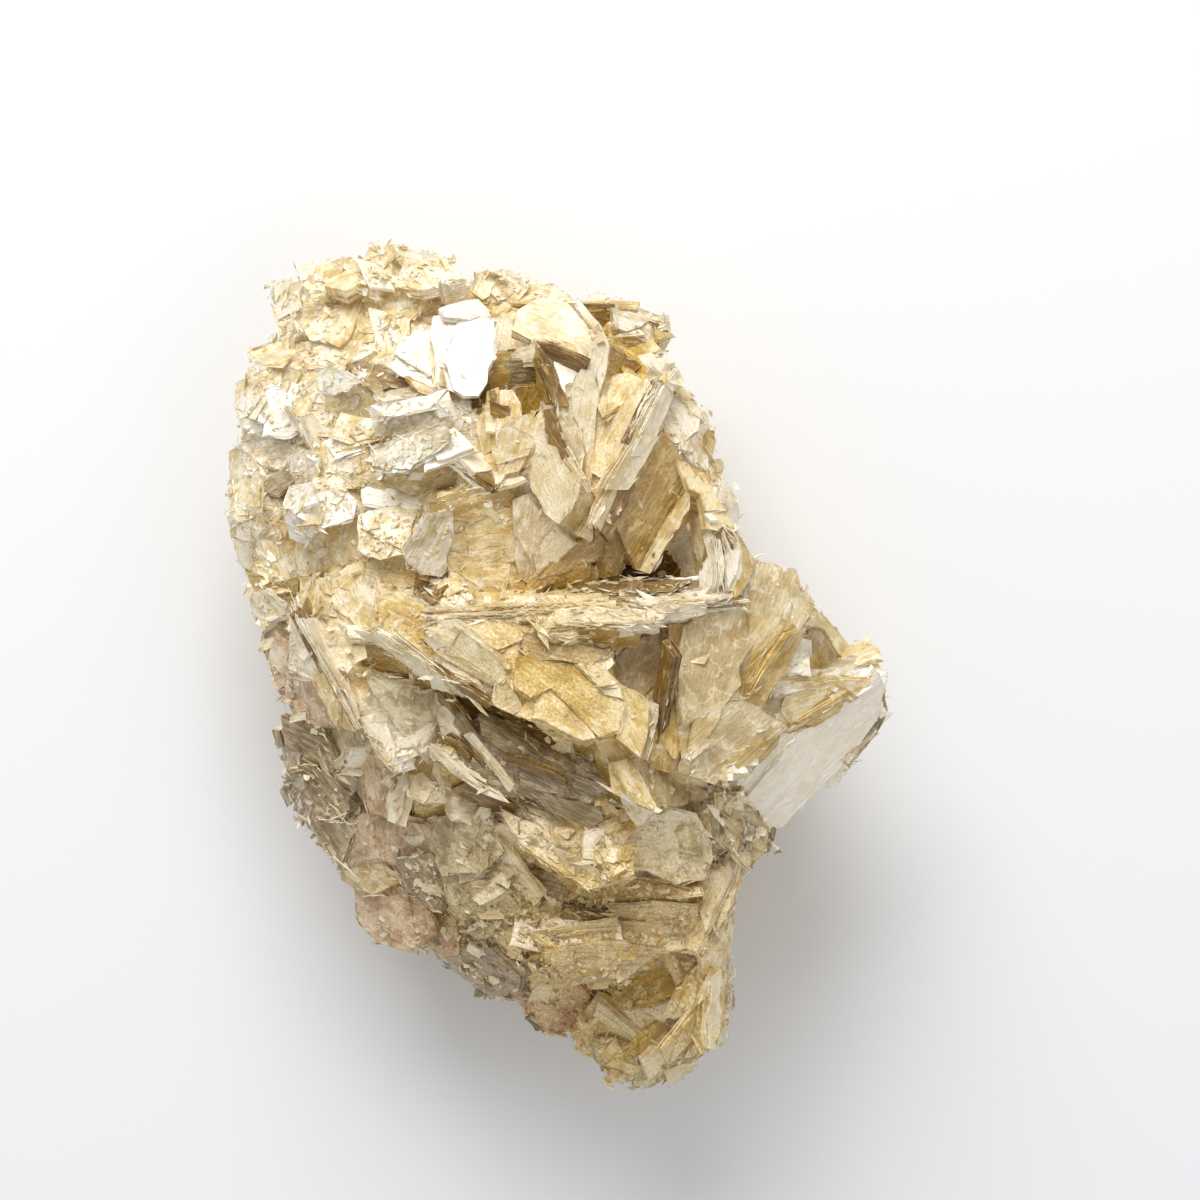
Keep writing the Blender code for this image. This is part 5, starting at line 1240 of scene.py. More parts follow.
leftFlank = dict(
    seed=30, proud=1.8, spread=0.6, slim=0.4, step=0.75, fray=0.16, groove=0.3, ledge=0.8, bend=0.3,
    curl=0.15, relief=0.14, terraces=2, pale=0.85, frays=2.6, frayLength=1.7, litter=0.3,
    plates=[
        ("slate", 80, 185, 38, 1.6, 6, 0.4, (-38.6,4.6, -37,5.7, -35.6,4.4, -35,1, -36,0.2, -38.4,1.2,
            -39.2,2.8)),
        ("bark", 70, 10, 40, 1.0, 4, 0.6, (-36.2,5.2, -35.4,3.9, -34.8,1, -36,1.8)),
        ("silver", -70, 205, 30, 1.6, 6, 0.5, (-34.8,5.8, -33.4,5, -30.8,0.6, -30.4,-3, -32.8,-1.4,
            -35.4,-0.2, -35.2,2)),
        ("rose", -78, 200, 30, 1.6, 6, 0.4, (-35.4,0.4, -32,-1.6, -30.2,-3.8, -29.4,-8, -31.6,-8.2,
            -34.2,-6.4, -35.6,-3.4)),
        ("lichen", -30, 242, 14, 1.8, 6, 0.5, (-24.4,-1.2, -22,-2.6, -18.6,-3, -16.4,-6.6, -17.2,-8,
            -20.4,-9.8, -23,-9, -24.6,-6.4)),
        ("honey", -10, 260, 20, 1.6, 5, 0.3, (-26.2,3.4, -22.2,3.7, -21.2,1, -22.6,-0.6, -25.6,0)),
        ("lichen", -50, 230, 22, 1.4, 5, 0.3, (-19,-3.2, -15.6,-4, -14,-6.6, -13.8,-10.6, -15.4,-9.4,
            -16.4,-7.2)),
        ("cream", -35, 240, 26, 1.4, 6, 0.4, (-21.6,1.4, -18.6,0.4, -16.4,-1.8, -17,-3.6, -19.8,-2.6,
            -22,-0.6)),
        ("cream", -36, 50, 34, 1.4, 7, 0.6, (-21.4,4, -18.4,3.2, -15,0.6, -16.4,-0.4, -19.6,1.2, -21.6,2.6)),
        # the rosette
        ("pearl", -14, 80, 30, 1.2, 6, 0.8, (-30.2,-8.4, -28,-8, -25.2,-9.2, -24,-9.8, -24.6,-10.6,
            -27,-10.7, -28.8,-11.6, -30,-9.8)),
        ("pearl", 38, 130, 34, 1.2, 7, 0.9, (-28.9,-13.2, -27.2,-11.6, -24.2,-10.4, -23.9,-11.4, -26,-13.8,
            -28,-13.9)),
        ("pearl", -58, 36, 36, 1.2, 6, 0.8, (-24.6,-7.9, -23,-8.2, -21.6,-11, -21.7,-13.2, -23,-11.8,
            -24.1,-9.8)),
        ("pearl", 38, 130, 36, 1.2, 7, 0.8, (-21.2,-10.6, -18.4,-9, -16.1,-7.6, -17.6,-10.8, -20.2,-12)),
        ("pearl", 46, 300, 46, 1.0, 5, 0.9, (-17.9,-11.3, -16.1,-9.4, -15.6,-10.2, -17.2,-12)),
        ("glare", 14, 90, 22, 0.8, 3, 0.9, (-21.2,-12.8, -19.4,-12.4, -19.1,-13.2, -20.8,-13.7)),
        ("rose", -80, 230, 20, 1.6, 6, 0.4, (-24,-11.6, -22.6,-13.2, -21.8,-15.6, -22,-18, -22.6,-20,
            -25.4,-18.8, -26.4,-17.2, -26,-14.6)),
        ("rose", -84, 235, 24, 1.6, 7, 0.5, (-27,-21.4, -25.4,-20.2, -22.6,-20, -20.6,-20.6, -20.2,-23.4,
            -21.4,-26.2, -24.6,-25.2, -27,-23.6)),
        ("pearl", 80, 170, 34, 1.4, 6, 0.9, (-20.8,-15.1, -19.5,-15.2, -19.5,-17.6, -20.4,-20.9, -21.9,-20.4,
            -21.9,-17.4)),
        ("pearl", -30, 66, 26, 1.4, 7, 0.9, (-19,-15.6, -17.8,-15, -16.2,-16.2, -15,-17.8, -17.4,-17.8,
            -18.9,-16.9)),
        ("pearl", -84, 350, 40, 1.0, 6, 0.9, (-15.7,-12.9, -14.6,-13.8, -14.3,-16.4, -15,-16.9, -15.6,-15)),
        ("honey", 60, 200, 24, 1.0, 4, 0.7, (-17.8,-13.2, -16,-13.4, -15.6,-15.6, -17.4,-15.2)),
        ("cream", 10, 100, 30, 1.2, 6, 0.7, (-19.6,-13.6, -17.2,-12.4, -15.4,-12.2, -16.2,-13.4,
            -18.6,-14.4)),
        ("bark", -70, 300, 30, 1.0, 4, -0.4, (-19,-17.6, -18.2,-18.2, -18.2,-21, -19.8,-19.6)),
        ("honey", -5, 262, 24, 1.4, 5, 0.4, (-18.4,-18, -14.6,-18, -13.3,-18.9, -14.6,-20.1, -18,-20.4)),
        ("rose", -52, 225, 40, 1.2, 5, 0.5, (-19.8,-20.4, -18,-21, -16.2,-23.4, -15.2,-25.2, -17,-25.8,
            -19.6,-23.4)),
        ("slate", -60, 210, 46, 1.6, 7, 0.3, (-34.6,-8.2, -31.8,-8, -29,-12.4, -30.2,-15, -33.4,-13,
            -34.8,-10.4)),
        ("slate", -50, 215, 46, 1.6, 7, 0.3, (-33.8,-14, -30.4,-14.8, -27.8,-17, -28.6,-20.6, -32,-18.6,
            -33.6,-16.6)),
        ("slate", -56, 215, 48, 1.6, 7, 0.3, (-32.6,-19.4, -29.8,-19.2, -27.2,-22.6, -28.4,-25.8, -31,-24.2,
            -32.6,-21.6)),
        ("silver", -50, 220, 36, 1.4, 6, 0.5, (-30.4,-9, -28.8,-11.8, -28.6,-14, -26.6,-15.8, -27.8,-17.2,
            -30.2,-14.6, -31.4,-11.6)),
        ("pearl", 0, 90, 30, 0.9, 3, 0.8, (-27,-19, -25.8,-18.8, -25.8,-20, -27,-20.2)),
    ],
    blades=[
        (-32.0, 4.2, 9.5, 3.0, 1.6, -66, 26, 62, "cream", 8, 0.5),
        (-30.8, 1.6, 13.0, 3.6, 1.8, -62, 28, 66, "bark", 10, 0.5),
        (-29.4, -0.4, 14.0, 3.0, 1.2, -62, 28, 66, "pearl", 7, 0.8),
        (-28.4, -1.0, 15.0, 3.6, 1.6, -62, 28, 66, "bark", 9, 0.5),
        (-27.2, -2.4, 12.0, 3.0, 1.0, -62, 26, 66, "pearl", 6, 0.9),
        (-26.2, -4.0, 8.0, 2.6, 1.2, -60, 28, 62, "bark", 7, 0.6),
        (-29.6, -4.8, 7.0, 2.4, 1.2, -64, 205, 50, "honey", 6, 0.6),
        (-27.8, -6.6, 6.0, 2.0, 1.2, -70, 205, 50, "pearl", 6, 0.8),
        (-23.4, 4.4, 7.0, 1.6, 1.2, 8, 100, 40, "pearl", 6, 0.6),
        (-18.8, 1.0, 11.0, 1.6, 1.2, -36, 236, 50, "pearl", 8, 0.9),
        (-17.2, 0.0, 9.0, 1.2, 1.0, -40, 236, 56, "pearl", 7, 1.0),
        (-21.6, -1.6, 7.0, 1.4, 0.8, -14, 250, 50, "bark", 6, 0.6),
    ],
)

lowerShells = dict(
    seed=31, proud=1.4, spread=0.9, slim=0.3, step=0.8, fray=0.18, groove=0.3, ledge=0.9, bend=0.35,
    curl=0.2, relief=0.22, terraces=3, pale=0.65, frays=2.4, frayLength=1.5, litter=0.6,
    plates=[
        ("lichen", -30, 235, 20, 1.8, 6, 0.5, (-16.4,-21.6, -12,-20.4, -8.8,-21.8, -7.8,-24.6, -10.4,-27,
            -14.8,-27.2, -16.2,-24.4)),
        ("lichen", -20, 245, 28, 1.6, 6, 0.4, (-15,-27.4, -10.4,-27, -7.6,-25, -6,-27.2, -9.4,-29.8,
            -13.9,-29.8)),
        ("lichen", -20, 250, 32, 1.8, 7, 0.4, (-13.9,-30, -9.6,-29.4, -5.4,-29, -4.6,-32, -6.6,-34.8,
            -10.4,-36.2, -12.4,-34.6, -13.4,-32.2)),
        ("cream", -30, 57, 34, 1.4, 7, 0.5, (-9.2,-22.2, -6.8,-21.6, -2.6,-23.6, 0.6,-26, -0.8,-27.2,
            -4.6,-25.6, -8,-23.8)),
        ("cream", -35, 57, 38, 1.6, 8, 0.6, (-6.2,-20.4, -2.6,-21.8, 1.4,-24.4, 6.4,-28.4, 4.4,-28.8,
            -0.4,-25.8, -4,-23.2)),
        ("pearl", -34, 56, 40, 1.2, 6, 0.9, (0.4,-25, 3,-26.4, 7,-28.8, 5.2,-29.2, 1.8,-27.2)),
        ("silver", -36, 238, 26, 1.4, 6, 0.3, (-4.8,-18.6, 0.6,-20, 4,-22, 3.4,-24.6, 0.6,-23.6, -3,-21.2)),
        ("honey", -20, 90, 20, 1.4, 5, 0.3, (4.4,-20.6, 8.4,-20, 9.6,-21.6, 8,-23, 5,-22.6)),
        ("glare", 20, 85, 16, 1.2, 4, 0.8, (4.6,-23, 6,-22.7, 6.9,-23.6, 6.3,-25.6, 4.6,-25.4)),
        ("honey", -30, 80, 22, 1.4, 5, 0.3, (6.4,-24.4, 9.8,-24.6, 9.6,-27, 7.4,-27.7, 6.2,-26)),
        ("pearl", -18, 262, 16, 1.6, 6, 0.4, (9.4,-20.4, 13,-19.4, 18.4,-20.6, 20.4,-25.6, 19.4,-28,
            15.6,-28.4, 12.4,-26.6, 10,-26.4)),
        ("lichen", 20, 262, 16, 0.9, 4, 0.9, (14.4,-22, 18.4,-22.2, 18.8,-24.8, 15.4,-25.2)),
        ("pearl", -10, 95, 24, 1.2, 5, 0.6, (9.2,-25.8, 12.6,-26.6, 13,-28.4, 9.6,-28.4)),
        ("pearl", 0, 100, 26, 1.2, 5, 0.6, (14.6,-28.4, 18.6,-28.8, 18.9,-30, 15.6,-30.4)),
        ("haze", -58, 212, 36, 1.6, 7, 0.4, (17.8,-16.6, 19.6,-16.4, 22.2,-20.4, 24.2,-22, 23.6,-24.2,
            21.4,-24.2, 19.4,-21.8, 18,-19.2)),
        ("pearl", -58, 36, 50, 1.0, 6, 0.9, (18,-17, 18.8,-17.2, 20.2,-20.4, 21.4,-22.6, 20.4,-22.2,
            18.8,-19.8)),
        ("haze", -78, 12, 34, 1.8, 6, 0.4, (24.2,-19.6, 26.4,-20.4, 27.8,-22, 27.6,-24.4, 25.6,-26,
            24.2,-24.6)),
        ("cream", -20, 90, 30, 1.4, 5, 0.4, (22,-17.6, 24.8,-17.8, 25.8,-19.4, 24,-20.6, 22.4,-19.6)),
        ("cream", 70, 158, 40, 1.6, 7, 0.4, (20.6,-26, 24,-24.4, 23.8,-28, 22.8,-31.6, 19.4,-37.6, 16.8,-37,
            18.6,-32.4, 20.4,-29)),
        ("cream", 84, 340, 44, 1.6, 7, 0.3, (22.4,-31, 23.2,-32, 23.4,-37, 22.4,-41, 20.4,-41.4, 19.6,-38.4,
            21.4,-34.4)),
        ("haze", -6, 265, 30, 1.6, 8, 0.5, (1,-27.8, 8,-28.6, 17.8,-30.4, 18.2,-32.6, 9.4,-32.2, 3,-30.2)),
        ("slate", -16, 258, 36, 1.4, 6, 0.2, (-2.8,-28, 1,-28, 6.8,-30.6, 8,-32.8, 2,-33.4, -2.6,-31.6)),
        ("silver", -2, 272, 30, 1.6, 8, 0.5, (8.2,-32.6, 13,-32.4, 18.2,-32.8, 18,-35.4, 10,-35.6)),
        ("silver", -10, 262, 30, 1.6, 7, 0.5, (-4.4,-33.4, 2,-33.4, 7.8,-34, 8.2,-36.8, 0.4,-37.6,
            -5,-36.6)),
        ("pearl", 2, 272, 34, 1.2, 6, 0.8, (9.4,-35.4, 17,-35.4, 18.8,-37.2, 12,-37.6)),
        ("pearl", -60, 230, 40, 1.2, 6, 0.7, (-6,-28, -4.8,-27.2, -2.4,-30.4, -3.4,-31.4)),
        ("silver", -2, 268, 34, 1.6, 7, 0.5, (0.6,-38.4, 8.2,-37.4, 13,-38.2, 10,-40.6, 6,-42, 1.4,-41)),
        ("cream", -30, 262, 36, 1.4, 6, 0.4, (-9.8,-36.2, -5.4,-35.6, -1.2,-37.2, -3.4,-38.8, -7.6,-38)),
        ("rose", -24, 250, 30, 1.8, 7, 0.3, (-26.2,-30.4, -21,-29.6, -17.4,-32, -16.8,-35.4, -19.6,-37.2,
            -23.6,-36.4, -26,-33.6)),
        ("cream", -40, 235, 34, 1.4, 5, 0.3, (-27.6,-25.8, -24.4,-26, -21.4,-28.4, -24.4,-29.8, -27.4,-28)),
        ("rose", -30, 255, 40, 1.6, 6, 0.1, (-17.2,-32.4, -14.2,-30.8, -12.2,-34.8, -11.2,-37.4, -15.6,-38.4,
            -17.4,-36.2)),
        ("slate", -50, 240, 40, 1.4, 6, 0.2, (-20.4,-26.4, -16.8,-25.8, -14.6,-29.6, -15.6,-32, -19.4,-30)),
    ],
    blades=[
        (21.8, -30.6, 11.0, 1.6, 1.2, 66, 158, 50, "pearl", 7, 0.9),
        (-11.4, -19.2, 5.0, 2.4, 1.0, -10, 100, 20, "pearl", 4, 0.9),
        (-5.6, -26.4, 9.0, 1.4, 1.0, -50, 225, 46, "pearl", 6, 0.8),
        (6.6, -33.8, 10.0, 1.6, 1.0, -6, 268, 50, "slate", 7, 0.7),
        (3.0, -35.4, 9.0, 1.4, 1.0, 8, 275, 46, "pearl", 6, 0.9),
        (11.0, -30.0, 12.0, 1.4, 1.0, -4, 268, 50, "cream", 7, 0.9),
        (-7.6, -18.4, 10.0, 1.6, 1.0, -24, 245, 46, "bark", 6, 0.5),
        (16.6, -15.8, 6.0, 1.6, 1.0, -30, 250, 40, "haze", 5, 0.5),
    ],
)

toe = dict(
    seed=32, proud=1.3, spread=0.8, slim=0.3, step=0.8, fray=0.18, groove=0.3, ledge=0.9, bend=0.3, curl=0.2,
    relief=0.18, terraces=2, pale=0.65, frays=2.2, frayLength=1.4, litter=0.4,
    plates=[
        ("slate", -14, 262, 34, 1.8, 7, 0.3, (-14,-38.4, -8,-38, -4.6,-40.6, -5.8,-44.2, -10,-43.6,
            -14.2,-41)),
        ("rose", -30, 262, 38, 1.8, 7, 0.2, (-4.6,-40.4, 1.4,-41.4, 4,-44, 2.6,-48.6, -0.4,-49.2, -3,-46.6,
            -5.2,-43.6)),
        ("honey", 18, 110, 26, 1.4, 5, 0.4, (8,-43.2, 11,-42, 14.6,-41, 18.4,-40.2, 17.2,-42, 12.6,-44.6,
            9.2,-45.2)),
        ("glare", 20, 90, 20, 1.4, 5, 0.9, (12.4,-43.6, 14.6,-43, 15.4,-44.6, 14.2,-46.6, 12.4,-45.6)),
        ("cream", 70, 150, 34, 1.4, 6, 0.6, (18.8,-40.6, 20.2,-41, 19.4,-44.4, 16.6,-46.2, 15,-46.4,
            16.6,-43.8)),
        ("honey", 86, 350, 44, 1.6, 7, 0.4, (20.2,-41.4, 22.2,-41.6, 22,-47.2, 21.2,-50.2, 19.8,-51.2,
            19.6,-46.6)),
        ("cream", -40, 230, 26, 1.6, 6, 0.4, (6,-44.6, 10.2,-46, 12.4,-49.4, 9,-50.4, 6.4,-48.6, 4.8,-46.2)),
        ("haze", 44, 314, 26, 1.6, 7, 0.5, (12.6,-47.4, 16.8,-46, 19.2,-47.4, 16.6,-51.8, 13,-51.6,
            11.8,-49.6)),
        ("lichen", -30, 250, 34, 1.6, 6, 0.3, (5.8,-50, 9.4,-50.4, 12.2,-51.8, 12,-54.8, 8.4,-54.8,
            5.8,-52.4)),
        ("lichen", 40, 300, 36, 1.6, 6, 0.3, (12.2,-52, 16,-52, 18.8,-52.6, 15.4,-54.8, 12.6,-56.2,
            11.2,-56)),
        ("pearl", 32, 290, 46, 1.0, 5, 0.6, (15.6,-54.4, 18.6,-52.6, 18.2,-53.4, 15.8,-55)),
        ("cream", 60, 220, 30, 1.6, 5, 0.4, (3.2,-48.2, 5.2,-47.8, 6,-50.4, 4.6,-51.8, 3.4,-51.4)),
        ("slate", -20, 262, 36, 1.4, 6, 0.1, (3.8,-42.6, 8.4,-43, 9,-45.4, 6.4,-46.6, 4,-45.6)),
        ("pearl", 10, 262, 30, 1.2, 5, 0.6, (10,-46.4, 13,-45.8, 14,-46.8, 11.6,-48)),
    ],
    blades=[
        (15.4, -49.8, 9.0, 2.0, 1.2, 45, 315, 46, "pearl", 6, 0.9),
        (17.4, -48.4, 8.0, 1.8, 1.2, 52, 320, 46, "cream", 6, 0.8),
        (13.4, -48.8, 7.0, 1.8, 1.2, 42, 312, 46, "honey", 6, 0.8),
        (8.2, -47.4, 5.0, 1.6, 1.0, -40, 230, 46, "pearl", 5, 0.8),
        (20.9, -46.0, 9.0, 1.2, 1.0, 88, 350, 56, "pearl", 6, 0.7),
        (10.6, -53.2, 5.0, 1.6, 1.0, -20, 262, 46, "cream", 5, 0.7),
    ],
)

regions = dict(
    crownBooks=crown, upperPlates=upperPlates, fanBlades=fan, shingleBooks=shingles, sillBlade=sill,
    amberBlade=amberBlade, darkFaceBooks=darkFace, broadFaceBooks=broadFace, paleFaceBooks=paleFace,
    leftFlankBooks=leftFlank, lowerShells=lowerShells, toeBooks=toe,
)
planted = {name: plantBooks(region) for name, region in regions.items()}
count = sum(len(region["plates"]) + len(region["blades"]) for region in regions.values())
print("large books planted:", count)


# where each finish prevails, and how broken up the surface is: x, y, spread, finish, share of small pieces
zones = [
    (-28, 50, 10, "honey", 1.0), (-12, 52, 9, "cream", 1.0), (4, 48, 7, "cream", 0.6),
    (-32, 40, 9, "cream", 0.9), (-12, 42, 6, "glare", 0.1), (-38, 26, 8, "silver", 0.8),
    (-20, 32, 9, "silver", 0.5), (-28, 22, 8, "cream", 0.8), (-38, 14, 7, "honey", 0.5),
    (-12, 20, 8, "honey", 0.25), (-22, 12, 8, "honey", 0.6), (-6, 37, 5, "bark", 0.2),
    (2, 30, 8, "pearl", 0.3), (-2, 17, 5, "cream", 0.2), (10, 34, 7, "cream", 0.2),
    (14, 22, 7, "amber", 0.25), (9, 12, 7, "bark", 0.6), (20, 18, 6, "pearl", 0.4),
    (19, 32, 6, "silver", 0.2), (4, 7, 7, "pearl", 0.5), (0, -3, 9, "honey", 0.15),
    (-14, 0, 7, "pearl", 0.5), (-30, 2, 8, "cream", 0.6), (-36, -2, 6, "rose", 0.4),
    (-20, -6, 6, "silver", 0.3), (-20, -14, 7, "cream", 0.5), (-4, -13, 8, "slate", 0.2),
    (-31, -16, 8, "slate", 0.5), (-24, -24, 7, "rose", 0.5), (22, 0, 11, "haze", 0.1),
    (33, 2, 6, "honey", 0.3), (34, -12, 9, "moon", 0.02), (10, -14, 7, "honey", 0.5),
    (-9, -28, 8, "lichen", 0.6), (4, -26, 8, "cream", 1.0), (15, -24, 7, "pearl", 0.6),
    (25, -22, 6, "slate", 0.5), (8, -36, 9, "cream", 0.9), (-20, -32, 8, "rose", 0.6),
    (-8, -42, 8, "slate", 0.8), (21, -36, 7, "haze", 0.5), (14, -48, 8, "cream", 0.8),
]
zoneX, zoneY, zoneSpread = np.array([zone[:3] for zone in zones]).T
zoneTones, zoneBusy = [zone[3] for zone in zones], np.array([zone[4] for zone in zones])

# steps start above the height slab. Sides whose normal points up by less than steep have a plain finish
# instead of their own, or else honey
heart = dict(
    seed=3, voxel=0.95, weld=0.01, smooth=2, shrink=0.30, gap=0.35, slab=0.6, sharp=24, steep=0.35,
    steps=9, stepHeight=0.42, stepLength=(1.6, 6.0), strength=3.5, wave=0.8,
    plain=dict(
        cream="cream", pearl="cream", silver="cream", glare="cream", moon="cream", slate="lichen",
        lichen="lichen",
    ),
)


def farFrom(points):
    # distance to each zone's middle over its spread
    return np.hypot(points[:, :1] - zoneX, points[:, 1:2] - zoneY) / zoneSpread


def zoneOf(points, luck, spread=0.3):
    # the nearest zone, with some luck
    far = farFrom(points)
    return (far * luck.uniform(1 - spread, 1 + spread, far.shape)).argmin(1)


def heartPoints():
    # the solid's own shape, remeshed, with cleavage steps: the surface moves along its normal by
    # sum over j of h_j saw(co . d_j / l_j + wave_j), where saw(s) = s - floor(s) - 1 / 2
    source = bpy.data.objects.new("heartSource", solid.data.copy())
    bpy.context.scene.collection.objects.link(source)
    source.modifiers.new("weld", "WELD").merge_threshold = heart["weld"] * mm
    voxels = source.modifiers.new("voxels", "REMESH")
    voxels.mode, voxels.voxel_size = "VOXEL", heart["voxel"] * mm
    source.modifiers.new("even", "SMOOTH").iterations = heart["smooth"]
    graph = bpy.context.evaluated_depsgraph_get()
    mesh = bpy.data.meshes.new_from_object(source.evaluated_get(graph))
    bpy.data.objects.remove(source)
    points, normals = rowsOf(mesh.vertices, "co") / mm, rowsOf(mesh.vertex_normals, "vector")
    luck = np.random.default_rng(heart["seed"])
    moved, shade = np.zeros(len(points)), np.zeros(len(points))
    for length in np.geomspace(*heart["stepLength"], heart["steps"]):
        way = luck.normal(size=3)
        way /= np.linalg.norm(way)
        wave = heart["wave"] * np.sin(points @ luck.normal(size=3) / length * heart["wave"]) + luck.uniform()
        s = points @ way / length + wave
        moved += (s - np.floor(s) - 0.5) * heart["stepHeight"] * (length / heart["stepLength"][1]) ** 0.5
        shade += np.sin(3.7 * np.floor(s) + length)
    moved = moved / heart["steps"] * heart["strength"] - heart["shrink"]
    moved[points[:, 2] < heart["slab"]] = 0
    points = points + normals * moved[:, None]
    # under each plate the mass stays below the plate's face
    for plate in plates:
        under = insideOf(points, plate["outline"])
        points[under, 2] = np.minimum(points[under, 2], faceOver(plate, points[under]) - heart["gap"])
    points[:, 2] = np.maximum(points[:, 2], 0)
    mesh.vertices.foreach_set("co", (points * mm).astype(np.float32).ravel())
    return mesh, points, moved, shade, luck


def dressHeart(mesh, points, moved, shade, luck, tall):
    loops = rowsOf(mesh.loops, "vertex_index", np.int32, 1).ravel()
    plane = np.stack([points[:, 0] + 0.6 * points[:, 2], points[:, 1] - 0.5 * points[:, 2]], -1)
    given = dict(
        rim=np.clip(0.35 + 0.6 * moved, 0, 1), shade=np.clip(shade / 4, -1, 1), layer=points[:, 2] * 0.4,
        paintedShade=crevicesOf(points, tall),
    )
    # each face has the finish of the zone it lies in. On the steep sides, where few books lie, the bright
    # and dark finishes give way to the plain ones
    zone = zoneOf(rowsOf(mesh.polygons, "center") / mm, luck, 0.05)
    tones = sorted(set(zoneTones))
    own = np.array([tones.index(tone) for tone in zoneTones])[zone]
    plain = np.array([tones.index(heart["plain"].get(tone, "honey")) for tone in zoneTones])[zone]
    steep = rowsOf(mesh.polygons, "normal")[:, 2] < heart["steep"]
    mesh.materials.clear()
    dressMesh(mesh, loops, plane, given, tones, np.where(steep, plain, own), heart["sharp"])
    mesh.name = "heartMass"
    showPiece("heartMass", mesh)


def scatterOn(count, luck, keep):
    # points spread by area: a triangle by its share of area, then (1 - sqrt u) A + sqrt u (1 - v) B + sqrt
    # u v C
    corner = solidPoints[solidFaces]
    face = np.cross(corner[:, 1] - corner[:, 0], corner[:, 2] - corner[:, 0])
    area = np.linalg.norm(face, axis=1)
    normals = face / np.maximum(area, 1e-12)[:, None]
    weight = area * keep(corner.mean(1), normals)
    picked = luck.choice(len(corner), count, p=weight / weight.sum())
    u, v = np.sqrt(luck.random((count, 1))), luck.random((count, 1))
    spot = corner[picked]
    return (1 - u) * spot[:, 0] + u * (1 - v) * spot[:, 1] + u * v * spot[:, 2], normals[picked]


def busyAt(points):
    # how broken up the surface is, from the zones by exp(-(distance / spread)^2)
    near = np.exp(-(farFrom(points) ** 2)) + 1e-6
    return (near * zoneBusy).sum(1) / near.sum(1)


def onFront(points, normals):
    return np.clip(normals[:, 2] + 0.15, 0.02, 1) * (points[:, 2] > 12) * busyAt(points)


def onSides(points, normals):
    return (normals[:, 2] < 0.35) * (points[:, 2] > 2.0) * (points[:, 2] < 44)


def onAll(points, normals):
    return (points[:, 2] > 1.5) * (0.2 + onFront(points, normals))


def onBroken(points, normals):
    # most in the lower part, then where the surface is most broken up
    return onFront(points, normals) * busyAt(points) * (0.3 + (points[:, 1] < -14))


# small pieces: how many, where, and their sizes. Width is a share of length
littleBooks = dict(
    seed=41, count=900, keep=onFront, sheets=(2, 5), length=(1.2, 3.4), share=(0.4, 0.85),
    thickness=(0.16, 0.4), lean=0.12, sink=-0.2, spread=0.0, step=1.0, fray=0.12, groove=0.16, ledge=0.8,
    bend=0.2, curl=0.12, relief=0.05, terraces=1, pale=0.6,
)
sideBooks = dict(
    seed=42, count=230, keep=onSides, sheets=(3, 7), length=(4.0, 9.0), share=(0.5, 0.85),
    thickness=(1.4, 2.4), lean=0.06, sink=-0.2, spread=0.0, step=1.3, fray=0.2, groove=0.3, ledge=1.0,
    bend=0.3, curl=0.15, relief=0.1, terraces=2, pale=0.6,
)
crumbs = dict(
    seed=43, count=8600, keep=onAll, corners=5, length=(0.3, 1.8), share=(0.4, 0.9),
    thickness=(0.05, 0.12), lean=0.25, pale=0.75,
)
splinters = dict(
    seed=44, count=1700, keep=onAll, corners=4, length=(0.8, 2.4), share=(0.08, 0.22),
    thickness=(0.06, 0.14), lean=0.25, pale=0.6,
)
crushed = dict(
    seed=45, count=5200, keep=onBroken, corners=5, length=(0.5, 2.4), share=(0.3, 0.75),
    thickness=(0.04, 0.1), lean=0.55, pale=0.5,
)
# a strewn book stays this near the solid's surface, and a piece lies on a plate that is at most this much
# under it
farthest, deepest = 1.3, 6


def settled(points, normals, luck, share=1.0):
    # small pieces over a plate: most are left out, and the others lie on the highest plate there
    height = np.full(len(points), -1e9)
    litter = np.ones(len(points))
    points, normals = points.copy(), normals.copy()
    for plate in plates:
        over = np.flatnonzero(insideOf(points, plate["outline"]))
        face = faceOver(plate, points[over])
        highest = face > np.maximum(height[over], points[over, 2] - deepest)
        over = over[highest]
        height[over], litter[over] = face[highest], plate["litter"] * share
        normals[over] = plate["normal"]
    kept = luck.random(len(points)) < litter
    on = height > 0
    points[on, 2] = height[on]
    return points[kept], normals[kept]


def strewBooks(look):
    luck = np.random.default_rng(look["seed"])
    points, normals = scatterOn(look["count"], luck, look["keep"])
    points, normals = settled(points, normals, luck, look["share"][0])
    zone = zoneOf(points, luck)
    shapes = []
    for point, normal, which in zip(points, normals, zone):
        tone = zoneTones[which] if luck.random() > 0.15 else "pearl"
        length, thickness = luck.uniform(*look["length"]), luck.uniform(*look["thickness"])
        normal = normal + luck.normal(0, look["lean"], 3)
        normal /= np.linalg.norm(normal)
        spare = luck.normal(size=3)
        longSide = spare - spare @ normal * normal
        longSide /= np.linalg.norm(longSide)
        axes = (longSide, np.cross(normal, longSide), normal)
        place = point - (look["sink"] + thickness / 2) * normal
        width = length * luck.uniform(*look["share"])
        outline = brokenOutline(length, width, int(luck.integers(4, 7)), luck)
        corners = place + thickness / 2 * normal + outline @ np.stack(axes[:2])
        if max(solidTree.find_nearest(corner)[3] for corner in corners.tolist()) < farthest:
            sheets = int(luck.integers(*look["sheets"]))
            shapes.append(bookShape(place, axes, outline, thickness, sheets, look, tone, luck))
    return shapes


